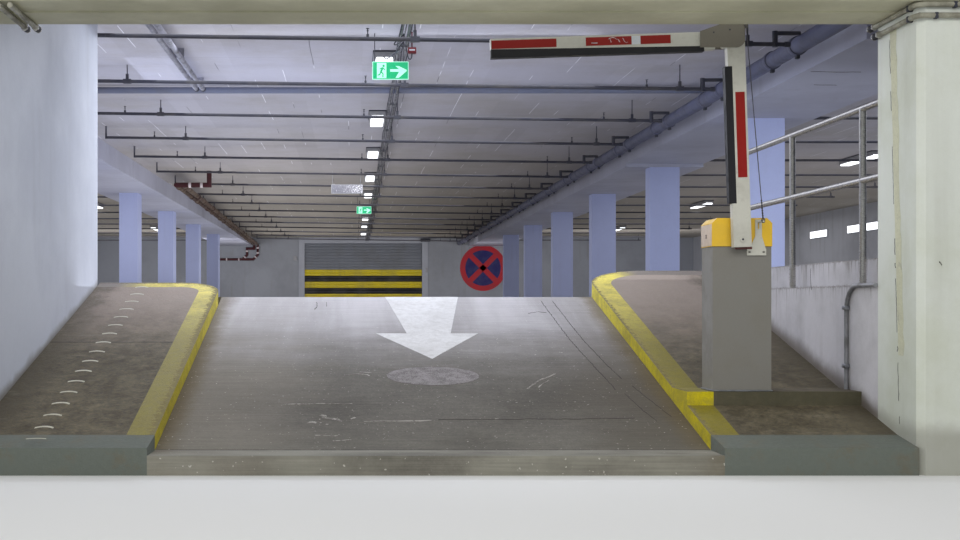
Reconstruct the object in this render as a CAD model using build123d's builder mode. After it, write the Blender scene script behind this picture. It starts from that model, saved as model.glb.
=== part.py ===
"""Underground car park: a ramp under a portal beam, with a folding-arm barrier, rises into a columned hall.

Frame: +X to the right and +Y inwards for someone who drives in, +Z up. The origin is at the middle of the
base, on the lowest ground, which is the lane in front of the portal. All values are in millimetres.
"""

import math
import os

from build123d import *

os.makedirs("parts", exist_ok=True)

# Overall size of the building
WIDTH = 21700
LENGTH = 38250
WALL = 240
ROOF_SLAB = 250
FRONT = -LENGTH / 2
REAR_FACE = LENGTH / 2 - WALL
INNER_HALF = WIDTH / 2 - WALL

# Levels
LANE_SLAB = 100
RAMP_RISE = 825
FLOOR_SLAB = 250
CEILING_HEIGHT = 2225
BEAM_DROP = 280
RIGHT_BEAM_DROP = 250
RIGHT_BEAM_STEP = 50
FLOOR_TOP = LANE_SLAB + RAMP_RISE
CEILING = FLOOR_TOP + CEILING_HEIGHT
BEAM_SOFFIT = CEILING - BEAM_DROP
RIGHT_BEAM_SOFFIT = CEILING - RIGHT_BEAM_DROP

# Entrance: lane, walks and ramp, measured along Y from the front face
LANE_CENTRE = -590
LANE_WIDTH = 2930
LEFT_WALK_WIDTH = 965
RIGHT_WALK_WIDTH = 985
KERB_WIDTH = 150
RAMP_START = 260
RAMP_RUN = 3440
RAMP_SLAB = 150
RAMP_SLOPE = RAMP_RISE / RAMP_RUN
CREST = RAMP_START + RAMP_RUN
PAVEMENT_FRONT_RISE = 40
PAVEMENT_RISE = 80
WALK_RISE = 110
LEFT_WALK_OVERRUN = 20
RIGHT_WALK_OVERRUN = 460
LEFT_CORNER_RADIUS = 300
RIGHT_CORNER_RADIUS = 500
STEP_PLACE = 750
STEP_RISE = 78
PLATFORM_RUN = 340

LANE_LEFT = LANE_CENTRE - LANE_WIDTH / 2
LANE_RIGHT = LANE_CENTRE + LANE_WIDTH / 2
PIT_LEFT = LANE_LEFT - LEFT_WALK_WIDTH
PIT_RIGHT = LANE_RIGHT + RIGHT_WALK_WIDTH

# Portal
PORTAL_CLEAR = 2300
PORTAL_DEPTH = 520
PIER_WIDTH = 500
PIER_CHAMFER = 35
SOFFIT_STEP = 10
SOFFIT_STEP_PLACE = 240
RAMP_WALL = 200
RAMP_WALL_END = 3610
PORTAL_SOFFIT = LANE_SLAB + PORTAL_CLEAR

# Low wall and railing on the right of the ramp
LEDGE_WIDTH = 120
UPSTAND_WIDTH = 100
LEDGE_OVER_FLOOR = 50
UPSTAND_RISE = 158
LOW_WALL_END = CREST
RAIL_RADIUS = 20
RAIL_POST_FIRST = 885
RAIL_POST_PITCH = 1200
RAIL_POSTS = 3
TOP_RAIL_RISE = 1020
MID_RAIL_RISE = 605
RAIL_FROM_EDGE = 60

# Structure of the hall
BAY = 4600
LAST_BAY_LEAST = 4000
FIRST_COLUMN = 7610
RIGHT_COLUMN_WIDTH = 430
RIGHT_COLUMN_DEPTH = 290
LEFT_COLUMN_WIDTH = 330
LEFT_COLUMN_DEPTH = 450
RIGHT_COLUMN_CENTRE = 3480
LEFT_COLUMN_CENTRE = -5080
BAND_WIDTH = 1120
FRONT_DROP_END = 3370
FRONT_DROP_WIDTH = 900
COLUMNS = math.floor((LENGTH - WALL - FIRST_COLUMN - LAST_BAY_LEAST) / BAY) + 1

# Roller shutter in the rear wall
SHUTTER_CENTRE = -715
SHUTTER_WIDTH = 4030
SHUTTER_SETBACK = 60
SLAT_HEIGHT = 100
SLAT_DEPTH = 18
SHUTTER_PLATE = 22
SURROUND_WIDTH = 200
SURROUND_DEPTH = 30
SHUTTER_HEIGHT = CEILING_HEIGHT - SURROUND_WIDTH

# Barrier
CABINET_WIDTH = 340
CABINET_DEPTH = 231
CABINET_HEIGHT = 980
CABINET_FROM_LANE = 141
CABINET_CAP_HEIGHT = 160
CABINET_CAP_CHAMFER = 29
CAP_OVERLAP = 4
ARM_WIDTH = 100
ARM_THICKNESS = 50
ARM_GAP = 20
ARM_LEAN = 1.95
ARM_LINK = 1097
ARM_LINK_LEAN = 5.0
ARM_TAIL = 42
PIVOT_FROM_CABINET_LEFT = 152
PIVOT_BELOW_CAP_TOP = 124
RUBBER_WIDTH = 41
RUBBER_PROUD = 17
TIP_REACH = 1313
TIP_ROOT = 60
TIP_SLEEVE = 60
TIP_ABOVE_ELBOW = 22
TIP_RUBBER_PROUD = 8
TIP_RUBBER_AT_ROOT = 29
TIP_RUBBER_AT_END = 49
TIP_DROOP = 1.9
PLATE_THICKNESS = 6
PLATE_GAP = 5
WIRE_RADIUS = 2.5
EYE_THICKNESS = 7
FIT = 0.05


def along(distance):
    """Y of a place measured inwards from the front face."""
    return FRONT + distance


def save(part, name):
    """Label a finished piece and write it to its own file."""
    part.label = name
    export_step(part, f"parts/{name}.step")


def slab(x_low, x_high, y_low, y_high, z_low, z_high):
    """A rectangular wall, slab or post between the given limits."""
    with BuildPart() as block:
        with BuildSketch(Plane.XY.offset(z_low)):
            with Locations(((x_low + x_high) / 2, (y_low + y_high) / 2)):
                Rectangle(x_high - x_low, y_high - y_low)
        extrude(amount=z_high - z_low)
    return block.part


def front_plane(x_place, y_place, z_place):
    """Sketch plane that faces the front, its local +X to the right and local +Y up."""
    return Plane(origin=(x_place, y_place, z_place), x_dir=(1, 0, 0), z_dir=(0, -1, 0))


def long_section(points, x_low, x_high):
    """A solid with one lengthwise outline, given as (distance from the front, height) pairs."""
    with BuildPart() as body:
        with BuildSketch(Plane.YZ.offset(x_low)):
            with BuildLine():
                Polyline([(along(distance), height) for distance, height in points], close=True)
            make_face()
        extrude(amount=x_high - x_low)
    return body.part


def lane_height(distance):
    """Height of the lane's surface at a distance from the front face."""
    return LANE_SLAB + max(0, min(distance - RAMP_START, RAMP_RUN)) * RAMP_SLOPE


BED_START = RAMP_START + (RAMP_SLAB - LANE_SLAB) / RAMP_SLOPE
BED_CREST = lane_height(CREST) - RAMP_SLAB


# Floor, ramp and lane: the hall floor is cast in three plates round the ramp pit
FLOOR_BASE = FLOOR_TOP - FLOOR_SLAB
save(slab(-INNER_HALF, INNER_HALF, along(CREST), REAR_FACE, FLOOR_BASE, FLOOR_TOP), "floor_slab")


def side_floor(x_low, x_high, pier_low):
    """Floor plate beside the ramp pit, from the front wall to the crest, notched round the portal pier."""
    with BuildPart() as plate:
        with BuildSketch(Plane.XY.offset(FLOOR_BASE)):
            with Locations(((x_low + x_high) / 2, along((WALL + CREST) / 2))):
                Rectangle(x_high - x_low, CREST - WALL)
            with Locations((pier_low + PIER_WIDTH / 2, along(PORTAL_DEPTH / 2))):
                Rectangle(PIER_WIDTH, PORTAL_DEPTH, mode=Mode.SUBTRACT)
        extrude(amount=FLOOR_SLAB)
    return plate.part


LOW_WALL_BACK = PIT_RIGHT + LEDGE_WIDTH + UPSTAND_WIDTH
save(side_floor(-INNER_HALF, PIT_LEFT - RAMP_WALL, PIT_LEFT - PIER_WIDTH), "left_floor_plate")
save(side_floor(LOW_WALL_BACK, INNER_HALF, PIT_RIGHT), "right_floor_plate")
save(
    long_section([(BED_START, 0), (CREST, BED_CREST), (CREST, 0)], PIT_LEFT, PIT_RIGHT),
    "ramp_fill",
)
save(
    long_section(
        [
            (0, 0),
            (0, LANE_SLAB),
            (RAMP_START, LANE_SLAB),
            (CREST, FLOOR_TOP),
            (CREST, BED_CREST),
            (BED_START, 0),
        ],
        LANE_LEFT,
        LANE_RIGHT,
    ),
    "ramp_slab",
)


# Side walks: one body, shared between the walk and its painted kerb
def walk_outline(end, corner_radius, side, inset):
    """Plan of a walk from above, with its far corner on the lane side rounded; side is 1 on the right."""
    lane_edge = LANE_RIGHT if side > 0 else LANE_LEFT
    wall_edge = PIT_RIGHT if side > 0 else PIT_LEFT
    low = lane_edge + side * inset
    far = along(end - inset)
    radius = corner_radius - inset
    with BuildSketch() as outline:
        with BuildLine():
            Polyline(
                (low, far - radius),
                (low, FRONT),
                (wall_edge, FRONT),
                (wall_edge, far),
                (low + side * radius, far),
            )
            RadiusArc((low + side * radius, far), (low, far - radius), -side * radius)
        make_face()
    return outline.sketch


def walk_pieces(profile, end, corner_radius, side):
    """The walk inside its kerb, and the kerb as a band along the lane and round the far corner."""
    x_low = LANE_RIGHT if side > 0 else PIT_LEFT
    x_high = PIT_RIGHT if side > 0 else LANE_LEFT
    mass = long_section(profile, x_low, x_high)
    kerb_start = RAMP_START
    whole = walk_outline(end, corner_radius, side, 0)
    inner = walk_outline(end, corner_radius, side, KERB_WIDTH)
    with BuildPart() as walk:
        add(mass)
        with BuildSketch(Plane.XY):
            add(inner)
            with Locations(((x_low + x_high) / 2, along(kerb_start / 2))):
                Rectangle(x_high - x_low, kerb_start)
        extrude(amount=CEILING, mode=Mode.INTERSECT)
    with BuildPart() as kerb:
        add(mass)
        with BuildSketch(Plane.XY):
            add(whole)
            add(inner, mode=Mode.SUBTRACT)
            with Locations(((x_low + x_high) / 2, along(kerb_start / 2))):
                Rectangle(x_high - x_low, kerb_start, mode=Mode.SUBTRACT)
        extrude(amount=CEILING, mode=Mode.INTERSECT)
    return walk.part, kerb.part


LEFT_WALK_END = CREST + LEFT_WALK_OVERRUN
RIGHT_WALK_END = CREST + RIGHT_WALK_OVERRUN
WALK_START = LANE_SLAB + PAVEMENT_RISE
STEP_FOOT = WALK_START + (STEP_PLACE - RAMP_START) * RAMP_SLOPE
PLATFORM = STEP_FOOT + STEP_RISE
PLATFORM_END = STEP_PLACE + PLATFORM_RUN
BED = [(CREST, FLOOR_TOP), (CREST, BED_CREST), (BED_START, 0), (0, 0)]


def walk_top(distance):
    """Height of a walk's sloping surface, which runs on past the ramp's crest."""
    return LANE_SLAB + WALK_RISE + (distance - RAMP_START) * RAMP_SLOPE


left_profile = [
    (0, LANE_SLAB + PAVEMENT_FRONT_RISE),
    (RAMP_START, WALK_START),
    (LEFT_WALK_END, walk_top(LEFT_WALK_END)),
    (LEFT_WALK_END, FLOOR_TOP),
] + BED
right_profile = [
    (0, LANE_SLAB + PAVEMENT_FRONT_RISE),
    (RAMP_START, WALK_START),
    (STEP_PLACE, STEP_FOOT),
    (STEP_PLACE, PLATFORM),
    (PLATFORM_END, PLATFORM),
    (RIGHT_WALK_END, walk_top(RIGHT_WALK_END)),
    (RIGHT_WALK_END, FLOOR_TOP),
] + BED
left_walk, left_kerb = walk_pieces(left_profile, LEFT_WALK_END, LEFT_CORNER_RADIUS, -1)
right_walk, right_kerb = walk_pieces(right_profile, RIGHT_WALK_END, RIGHT_CORNER_RADIUS, 1)
save(left_walk, "left_walk")
save(left_kerb, "left_kerb")
save(right_walk, "right_walk")
save(right_kerb, "right_kerb")

# Walls round the ramp pit
save(
    slab(PIT_LEFT - RAMP_WALL, PIT_LEFT, along(PORTAL_DEPTH), along(RAMP_WALL_END), 0, CEILING),
    "left_ramp_wall",
)


def low_wall():
    """Wall beside the right walk: a ledge that carries the railing, and an upstand behind it."""
    ledge = FLOOR_TOP + LEDGE_OVER_FLOOR
    with BuildPart() as wall:
        with BuildSketch(Plane.XZ.offset(-along(PORTAL_DEPTH))):
            with BuildLine():
                Polyline(
                    (PIT_RIGHT, 0),
                    (LOW_WALL_BACK, 0),
                    (LOW_WALL_BACK, ledge + UPSTAND_RISE),
                    (LOW_WALL_BACK - UPSTAND_WIDTH, ledge + UPSTAND_RISE),
                    (LOW_WALL_BACK - UPSTAND_WIDTH, ledge),
                    (PIT_RIGHT, ledge),
                    close=True,
                )
            make_face()
        extrude(amount=-(LOW_WALL_END - PORTAL_DEPTH))
    return wall.part


save(low_wall(), "right_low_wall")


# Portal: two piers and the beam over them
def pier(x_low, lane_side):
    """Portal pier, its front corner on the lane side chamfered; lane_side is 1 where the lane lies at +X."""
    with BuildPart() as post:
        with BuildSketch():
            with Locations((x_low + PIER_WIDTH / 2, along(PORTAL_DEPTH / 2))):
                Rectangle(PIER_WIDTH, PORTAL_DEPTH)
        extrude(amount=PORTAL_SOFFIT)
        lane_edges = post.edges().filter_by(Axis.Z).sort_by(Axis.X, reverse=lane_side > 0)[:2]
        chamfer(lane_edges.sort_by(Axis.Y)[0], length=PIER_CHAMFER)
    return post.part


save(pier(PIT_LEFT - PIER_WIDTH, 1), "left_pier")
save(pier(PIT_RIGHT, -1), "right_pier")
save(
    long_section(
        [
            (0, PORTAL_SOFFIT + SOFFIT_STEP),
            (SOFFIT_STEP_PLACE, PORTAL_SOFFIT + SOFFIT_STEP),
            (SOFFIT_STEP_PLACE, PORTAL_SOFFIT),
            (PORTAL_DEPTH, PORTAL_SOFFIT),
            (PORTAL_DEPTH, CEILING),
            (0, CEILING),
        ],
        PIT_LEFT - PIER_WIDTH,
        PIT_RIGHT + PIER_WIDTH,
    ),
    "portal_beam",
)

# Outer walls
save(slab(-WIDTH / 2, -INNER_HALF, FRONT, -FRONT, 0, CEILING), "left_wall")
save(slab(INNER_HALF, WIDTH / 2, FRONT, -FRONT, 0, CEILING), "right_wall")
save(slab(-INNER_HALF, PIT_LEFT - PIER_WIDTH, FRONT, along(WALL), 0, CEILING), "front_wall_left")
save(slab(PIT_RIGHT + PIER_WIDTH, INNER_HALF, FRONT, along(WALL), 0, CEILING), "front_wall_right")


def rear_wall():
    """Rear wall with the opening for the roller shutter cut through it."""
    with BuildPart() as wall:
        with BuildSketch(Plane.XZ.offset(-REAR_FACE)):
            with Locations((0, CEILING / 2)):
                Rectangle(2 * INNER_HALF, CEILING)
            with Locations((SHUTTER_CENTRE, FLOOR_TOP + SHUTTER_HEIGHT / 2)):
                Rectangle(SHUTTER_WIDTH, SHUTTER_HEIGHT, mode=Mode.SUBTRACT)
        extrude(amount=-WALL)
    return wall.part


save(rear_wall(), "rear_wall")
save(slab(-WIDTH / 2, WIDTH / 2, FRONT, -FRONT, CEILING, CEILING + ROOF_SLAB), "roof_slab")


# Band beams and columns
def column_row(centre, width, depth, soffits):
    """One row of columns from the hall floor to its band beam; the soffits give each column's head."""
    with BuildPart() as row:
        for index, soffit in enumerate(soffits):
            with BuildSketch(Plane.XY.offset(FLOOR_TOP)):
                with Locations((centre, along(FIRST_COLUMN + index * BAY + depth / 2))):
                    Rectangle(width, depth)
            extrude(amount=soffit - FLOOR_TOP)
    return row.part


RIGHT_BAND_INNER = RIGHT_COLUMN_CENTRE - BAND_WIDTH / 2
RIGHT_BAND_OUTER = RIGHT_COLUMN_CENTRE + BAND_WIDTH / 2
LEFT_BAND_INNER = LEFT_COLUMN_CENTRE + BAND_WIDTH / 2
LEFT_BAND_OUTER = LEFT_COLUMN_CENTRE - BAND_WIDTH / 2
BAND_STEP_PLACE = FIRST_COLUMN + BAY
BAND_END = LENGTH - WALL
save(
    slab(LEFT_BAND_OUTER, LEFT_BAND_INNER, along(WALL), REAR_FACE, BEAM_SOFFIT, CEILING),
    "left_band_beam",
)
save(
    long_section(
        [
            (FRONT_DROP_END, CEILING),
            (FRONT_DROP_END, RIGHT_BEAM_SOFFIT),
            (BAND_STEP_PLACE, RIGHT_BEAM_SOFFIT),
            (BAND_STEP_PLACE, RIGHT_BEAM_SOFFIT - RIGHT_BEAM_STEP),
            (BAND_END, RIGHT_BEAM_SOFFIT - RIGHT_BEAM_STEP),
            (BAND_END, CEILING),
        ],
        RIGHT_BAND_INNER,
        RIGHT_BAND_OUTER,
    ),
    "right_band_beam",
)
save(
    slab(
        RIGHT_BAND_OUTER - FRONT_DROP_WIDTH,
        RIGHT_BAND_OUTER,
        along(WALL),
        along(FRONT_DROP_END),
        RIGHT_BEAM_SOFFIT,
        CEILING,
    ),
    "front_drop_beam",
)
left_heads = [BEAM_SOFFIT] * COLUMNS
right_heads = [RIGHT_BEAM_SOFFIT] + [RIGHT_BEAM_SOFFIT - RIGHT_BEAM_STEP] * (COLUMNS - 1)
save(column_row(LEFT_COLUMN_CENTRE, LEFT_COLUMN_WIDTH, LEFT_COLUMN_DEPTH, left_heads), "left_columns")
save(column_row(RIGHT_COLUMN_CENTRE, RIGHT_COLUMN_WIDTH, RIGHT_COLUMN_DEPTH, right_heads), "right_columns")


# Roller shutter
def shutter_curtain():
    """Curtain of convex slats, as one profile drawn in section and pulled across the opening."""
    face = REAR_FACE + SHUTTER_SETBACK
    back = face + SHUTTER_PLATE
    slats = round(SHUTTER_HEIGHT / SLAT_HEIGHT)
    pitch = SHUTTER_HEIGHT / slats
    with BuildPart() as curtain:
        with BuildSketch(Plane.YZ.offset(SHUTTER_CENTRE - SHUTTER_WIDTH / 2)):
            with BuildLine():
                for index in range(slats):
                    low = FLOOR_TOP + index * pitch
                    ThreePointArc((face, low), (face - SLAT_DEPTH, low + pitch / 2), (face, low + pitch))
                Polyline(
                    (face, FLOOR_TOP + SHUTTER_HEIGHT),
                    (back, FLOOR_TOP + SHUTTER_HEIGHT),
                    (back, FLOOR_TOP),
                    (face, FLOOR_TOP),
                )
            make_face()
        extrude(amount=SHUTTER_WIDTH)
    return curtain.part


def shutter_surround():
    """Flat frame round the shutter opening, on the hall side of the wall."""
    height = SHUTTER_HEIGHT + SURROUND_WIDTH
    with BuildPart() as frame:
        with BuildSketch(Plane.XZ.offset(-REAR_FACE)):
            with Locations((SHUTTER_CENTRE, FLOOR_TOP + height / 2)):
                Rectangle(SHUTTER_WIDTH + 2 * SURROUND_WIDTH, height)
            with Locations((SHUTTER_CENTRE, FLOOR_TOP + SHUTTER_HEIGHT / 2)):
                Rectangle(SHUTTER_WIDTH, SHUTTER_HEIGHT, mode=Mode.SUBTRACT)
        extrude(amount=SURROUND_DEPTH)
    return frame.part


save(shutter_curtain(), "shutter_curtain")
save(shutter_surround(), "shutter_surround")


# Railing on the ledge of the low wall
def railing():
    """Two tubes and three posts, joined into one welded frame."""
    centre = PIT_RIGHT + RAIL_FROM_EDGE
    base = FLOOR_TOP + LEDGE_OVER_FLOOR
    last = RAIL_POST_FIRST + (RAIL_POSTS - 1) * RAIL_POST_PITCH
    with BuildPart() as rail:
        with BuildSketch(Plane.XY.offset(base)):
            for index in range(RAIL_POSTS):
                with Locations((centre, along(RAIL_POST_FIRST + index * RAIL_POST_PITCH))):
                    Circle(RAIL_RADIUS)
        extrude(amount=TOP_RAIL_RISE)
        with BuildSketch(Plane.XZ.offset(-along(PORTAL_DEPTH))):
            with Locations((centre, base + TOP_RAIL_RISE), (centre, base + MID_RAIL_RISE)):
                Circle(RAIL_RADIUS)
        extrude(amount=-(last - PORTAL_DEPTH + RAIL_RADIUS))
    return rail.part


save(railing(), "railing")

# Barrier cabinet on the level platform of the right walk
CABINET_LEFT = LANE_RIGHT + CABINET_FROM_LANE
CABINET_FRONT = along(STEP_PLACE)
CABINET_CENTRE = CABINET_LEFT + CABINET_WIDTH / 2
CABINET_TOP = PLATFORM + CABINET_HEIGHT
CAP_BASE = CABINET_TOP - CABINET_CAP_HEIGHT
save(
    slab(
        CABINET_LEFT + CAP_OVERLAP,
        CABINET_LEFT + CABINET_WIDTH - CAP_OVERLAP,
        CABINET_FRONT + CAP_OVERLAP,
        CABINET_FRONT + CABINET_DEPTH - CAP_OVERLAP,
        PLATFORM,
        CAP_BASE,
    ),
    "barrier_cabinet",
)


def cabinet_cap():
    """Hood on the cabinet, with its top edges chamfered."""
    with BuildPart() as cap:
        with BuildSketch(Plane.XY.offset(CAP_BASE)):
            with Locations((CABINET_CENTRE, CABINET_FRONT + CABINET_DEPTH / 2)):
                Rectangle(CABINET_WIDTH, CABINET_DEPTH)
        extrude(amount=CABINET_CAP_HEIGHT)
        top_edges = cap.faces().sort_by(Axis.Z)[-1].edges().filter_by(Axis.Y)
        chamfer(top_edges, length=CABINET_CAP_CHAMFER)
    return cap.part


save(cabinet_cap(), "cabinet_cap")

# Barrier arm: the pivots form a parallelogram of cabinet pivot, elbow, wire top and wire anchor
ARM_BACK = CABINET_FRONT - ARM_GAP
ARM_FRONT = ARM_BACK - ARM_THICKNESS
PIVOT_X = CABINET_LEFT + PIVOT_FROM_CABINET_LEFT
PIVOT_Z = CABINET_TOP - PIVOT_BELOW_CAP_TOP
ELBOW_X = PIVOT_X - ARM_LINK * math.sin(math.radians(ARM_LINK_LEAN))
ELBOW_Z = PIVOT_Z + ARM_LINK * math.cos(math.radians(ARM_LINK_LEAN))
ANCHOR_OFFSET_X = 109
ANCHOR_OFFSET_Z = 100
ANCHOR_X = PIVOT_X + ANCHOR_OFFSET_X
ANCHOR_Z = PIVOT_Z + ANCHOR_OFFSET_Z
WIRE_TOP_X = ELBOW_X + ANCHOR_OFFSET_X
WIRE_TOP_Z = ELBOW_Z + ANCHOR_OFFSET_Z
WIRE_PLANE_GAP = PLATE_THICKNESS + PLATE_GAP
WIRE_Y = ARM_FRONT - PLATE_GAP - WIRE_PLANE_GAP - EYE_THICKNESS / 2
PIVOT_RADIUS = 15
ELBOW_PIN_RADIUS = 10
ARM_HEAD = 45
ELBOW_LUG_RADIUS = 20
RUBBER_START = 202
RUBBER_LENGTH = 768


def arm_plane(y_place, x_place, z_place, lean):
    """Sketch plane facing the front, its local +Y along an arm that leans left by the given degrees."""
    direction = math.radians(lean)
    return Plane(
        origin=(x_place, y_place, z_place),
        x_dir=(math.cos(direction), 0, math.sin(direction)),
        z_dir=(0, -1, 0),
    )


def boom_arm():
    """Lower arm: a flat box section with a rebate for the rubber and a bore at each end."""
    length = ARM_TAIL + ARM_LINK + ARM_HEAD
    plane = arm_plane(ARM_BACK, PIVOT_X, PIVOT_Z, ARM_LEAN)
    elbow = plane.to_local_coords(Vector(ELBOW_X, ARM_BACK, ELBOW_Z))
    rebate = RUBBER_WIDTH - RUBBER_PROUD
    with BuildPart() as arm:
        with BuildSketch(plane):
            with Locations((0, length / 2 - ARM_TAIL)):
                Rectangle(ARM_WIDTH, length)
            with Locations((elbow.X, elbow.Y)):
                Circle(ELBOW_LUG_RADIUS)
            with Locations((-ARM_WIDTH / 2 + rebate / 2, RUBBER_START + RUBBER_LENGTH / 2)):
                Rectangle(rebate, RUBBER_LENGTH, mode=Mode.SUBTRACT)
            Circle(PIVOT_RADIUS + FIT, mode=Mode.SUBTRACT)
            with Locations((elbow.X, elbow.Y)):
                Circle(ELBOW_PIN_RADIUS + FIT, mode=Mode.SUBTRACT)
        extrude(amount=ARM_THICKNESS)
    return arm.part


def arm_rubber():
    """Rubber strip in the rebate of the lower arm."""
    plane = arm_plane(ARM_BACK, PIVOT_X, PIVOT_Z, ARM_LEAN)
    centre = -ARM_WIDTH / 2 - RUBBER_PROUD + RUBBER_WIDTH / 2
    with BuildPart() as strip:
        with BuildSketch(plane):
            with Locations((centre, RUBBER_START + RUBBER_LENGTH / 2)):
                Rectangle(RUBBER_WIDTH, RUBBER_LENGTH)
        extrude(amount=ARM_THICKNESS)
    return strip.part


save(boom_arm(), "boom_arm")
save(arm_rubber(), "arm_rubber")


def pivot_shaft():
    """Shaft that carries the arm, from the cabinet's hood through the arm's bore."""
    reach = ARM_GAP + ARM_THICKNESS + PLATE_THICKNESS
    with BuildPart() as shaft:
        with BuildSketch(front_plane(PIVOT_X, CABINET_FRONT, PIVOT_Z)):
            Circle(PIVOT_RADIUS)
        extrude(amount=reach)
        with BuildSketch(front_plane(PIVOT_X, CABINET_FRONT, PIVOT_Z)):
            Circle(2 * PIVOT_RADIUS)
        extrude(amount=ARM_GAP - PLATE_GAP)
    return shaft.part


save(pivot_shaft(), "pivot_shaft")

# Tip: the folding outer arm, its cheek plates and its rubber


def tip_plane(y_place):
    """Sketch plane of the tip, with its origin on the elbow and its local +Y pointing along the tip."""
    return arm_plane(y_place, ELBOW_X, ELBOW_Z, 90 + TIP_DROOP)


def tip_strip(over):
    """Corners of the strip under the tip, from the given reach past its lower edge to the rubber's top."""
    low = TIP_ABOVE_ELBOW - ARM_WIDTH / 2
    rubber_low = low - TIP_RUBBER_PROUD
    start = TIP_ROOT + TIP_SLEEVE
    return [
        (low - over, TIP_REACH),
        (rubber_low + TIP_RUBBER_AT_END, TIP_REACH),
        (rubber_low + TIP_RUBBER_AT_ROOT, start),
        (low - over, start),
    ]


def boom_tip():
    """Outer arm: the same box section as the lower arm, with a rebate underneath and a sleeve at its root."""
    length = TIP_REACH - TIP_ROOT
    with BuildPart() as tip:
        with BuildSketch(tip_plane(ARM_BACK)):
            with Locations((TIP_ABOVE_ELBOW, TIP_ROOT + length / 2)):
                Rectangle(ARM_WIDTH, length)
            with BuildLine():
                Polyline(tip_strip(ARM_WIDTH), close=True)
            make_face(mode=Mode.SUBTRACT)
        extrude(amount=ARM_THICKNESS)
        with BuildSketch(tip_plane(ARM_BACK + PLATE_GAP)):
            with Locations((TIP_ABOVE_ELBOW, TIP_ROOT + TIP_SLEEVE / 2)):
                Rectangle(ARM_WIDTH - 2 * PLATE_GAP, TIP_SLEEVE)
        extrude(amount=ARM_THICKNESS + 2 * PLATE_GAP)
    return tip.part


def tip_rubber():
    """Rubber strip under the outer arm, deeper towards the arm's end."""
    with BuildPart() as strip:
        with BuildSketch(tip_plane(ARM_BACK)):
            with BuildLine():
                Polyline(tip_strip(TIP_RUBBER_PROUD), close=True)
            make_face()
        extrude(amount=ARM_THICKNESS)
    return strip.part


save(boom_tip(), "boom_tip")
save(tip_rubber(), "tip_rubber")

PLATE_LEFT = -144
PLATE_RIGHT = 106
PLATE_LOW = -20
PLATE_CORNER = (45, (88, -10), 14)
PLATE_SHOULDER = 70
PLATE_CREST = 120
PLATE_EAR = 15
WIRE_PIN_RADIUS = 4


def elbow_plates():
    """Two cheek plates that hold the outer arm's root, with the elbow pin between them."""
    corner_start, corner_middle, corner_end = PLATE_CORNER
    behind_arm = ARM_BACK + PLATE_GAP + PLATE_THICKNESS
    before_arm = ARM_FRONT - PLATE_GAP
    with BuildPart() as plates:
        for y_place in (behind_arm, before_arm):
            with BuildSketch(front_plane(ELBOW_X, y_place, ELBOW_Z)):
                with BuildLine():
                    Polyline(
                        (PLATE_RIGHT, corner_end),
                        (PLATE_RIGHT, ANCHOR_OFFSET_Z - PLATE_EAR),
                        (ANCHOR_OFFSET_X, ANCHOR_OFFSET_Z - PLATE_EAR),
                    )
                    ThreePointArc(
                        (ANCHOR_OFFSET_X, ANCHOR_OFFSET_Z - PLATE_EAR),
                        (ANCHOR_OFFSET_X + PLATE_EAR, ANCHOR_OFFSET_Z),
                        (ANCHOR_OFFSET_X, ANCHOR_OFFSET_Z + PLATE_EAR),
                    )
                    Polyline(
                        (ANCHOR_OFFSET_X, ANCHOR_OFFSET_Z + PLATE_EAR),
                        (0, PLATE_CREST),
                        (PLATE_LEFT, PLATE_SHOULDER),
                        (PLATE_LEFT, PLATE_LOW),
                        (corner_start, PLATE_LOW),
                    )
                    ThreePointArc((corner_start, PLATE_LOW), corner_middle, (PLATE_RIGHT, corner_end))
                make_face()
            extrude(amount=PLATE_THICKNESS)
        with BuildSketch(front_plane(ELBOW_X, behind_arm, ELBOW_Z)):
            Circle(ELBOW_PIN_RADIUS)
        extrude(amount=ARM_THICKNESS + 2 * PLATE_GAP + 2 * PLATE_THICKNESS)
        with BuildSketch(front_plane(ELBOW_X, before_arm, ELBOW_Z)):
            with Locations((ANCHOR_OFFSET_X, ANCHOR_OFFSET_Z)):
                Circle(WIRE_PIN_RADIUS)
        extrude(amount=WIRE_PLANE_GAP + EYE_THICKNESS)
    return plates.part


save(elbow_plates(), "elbow_plates")


def tie_wire():
    """Taut wire from the anchor to the elbow plates, with an eye at each end."""
    lean = math.degrees(math.atan2(ANCHOR_X - WIRE_TOP_X, WIRE_TOP_Z - ANCHOR_Z))
    eye = 4 * WIRE_RADIUS
    plane = arm_plane(WIRE_Y, ANCHOR_X, ANCHOR_Z, lean)
    with BuildPart() as wire:
        with BuildSketch(plane.offset(-EYE_THICKNESS / 2)):
            with Locations((0, 0), (0, ARM_LINK)):
                Circle(eye)
                Circle(eye / 2 + FIT, mode=Mode.SUBTRACT)
        extrude(amount=EYE_THICKNESS)
        start = plane.from_local_coords(Vector(0, eye - WIRE_RADIUS, 0))
        with BuildSketch(Plane(origin=start, z_dir=plane.y_dir)):
            Circle(WIRE_RADIUS)
        extrude(amount=ARM_LINK - 2 * (eye - WIRE_RADIUS))
    return wire.part


ANCHOR_TOP = 15
ANCHOR_NECK = 18.5
ANCHOR_NECK_LOW = -78
ANCHOR_FLARE = (-50, 41)
ANCHOR_FOOT = (-65, 43)
ANCHOR_FOOT_TOP = -150
ANCHOR_FOOT_LOW = -187
ANCHOR_SLOT_WIDTH = 7
ANCHOR_SLOT_LOW = -38
ANCHOR_HOLE_WIDTH = 14
ANCHOR_HOLE_HEIGHT = 9


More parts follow.
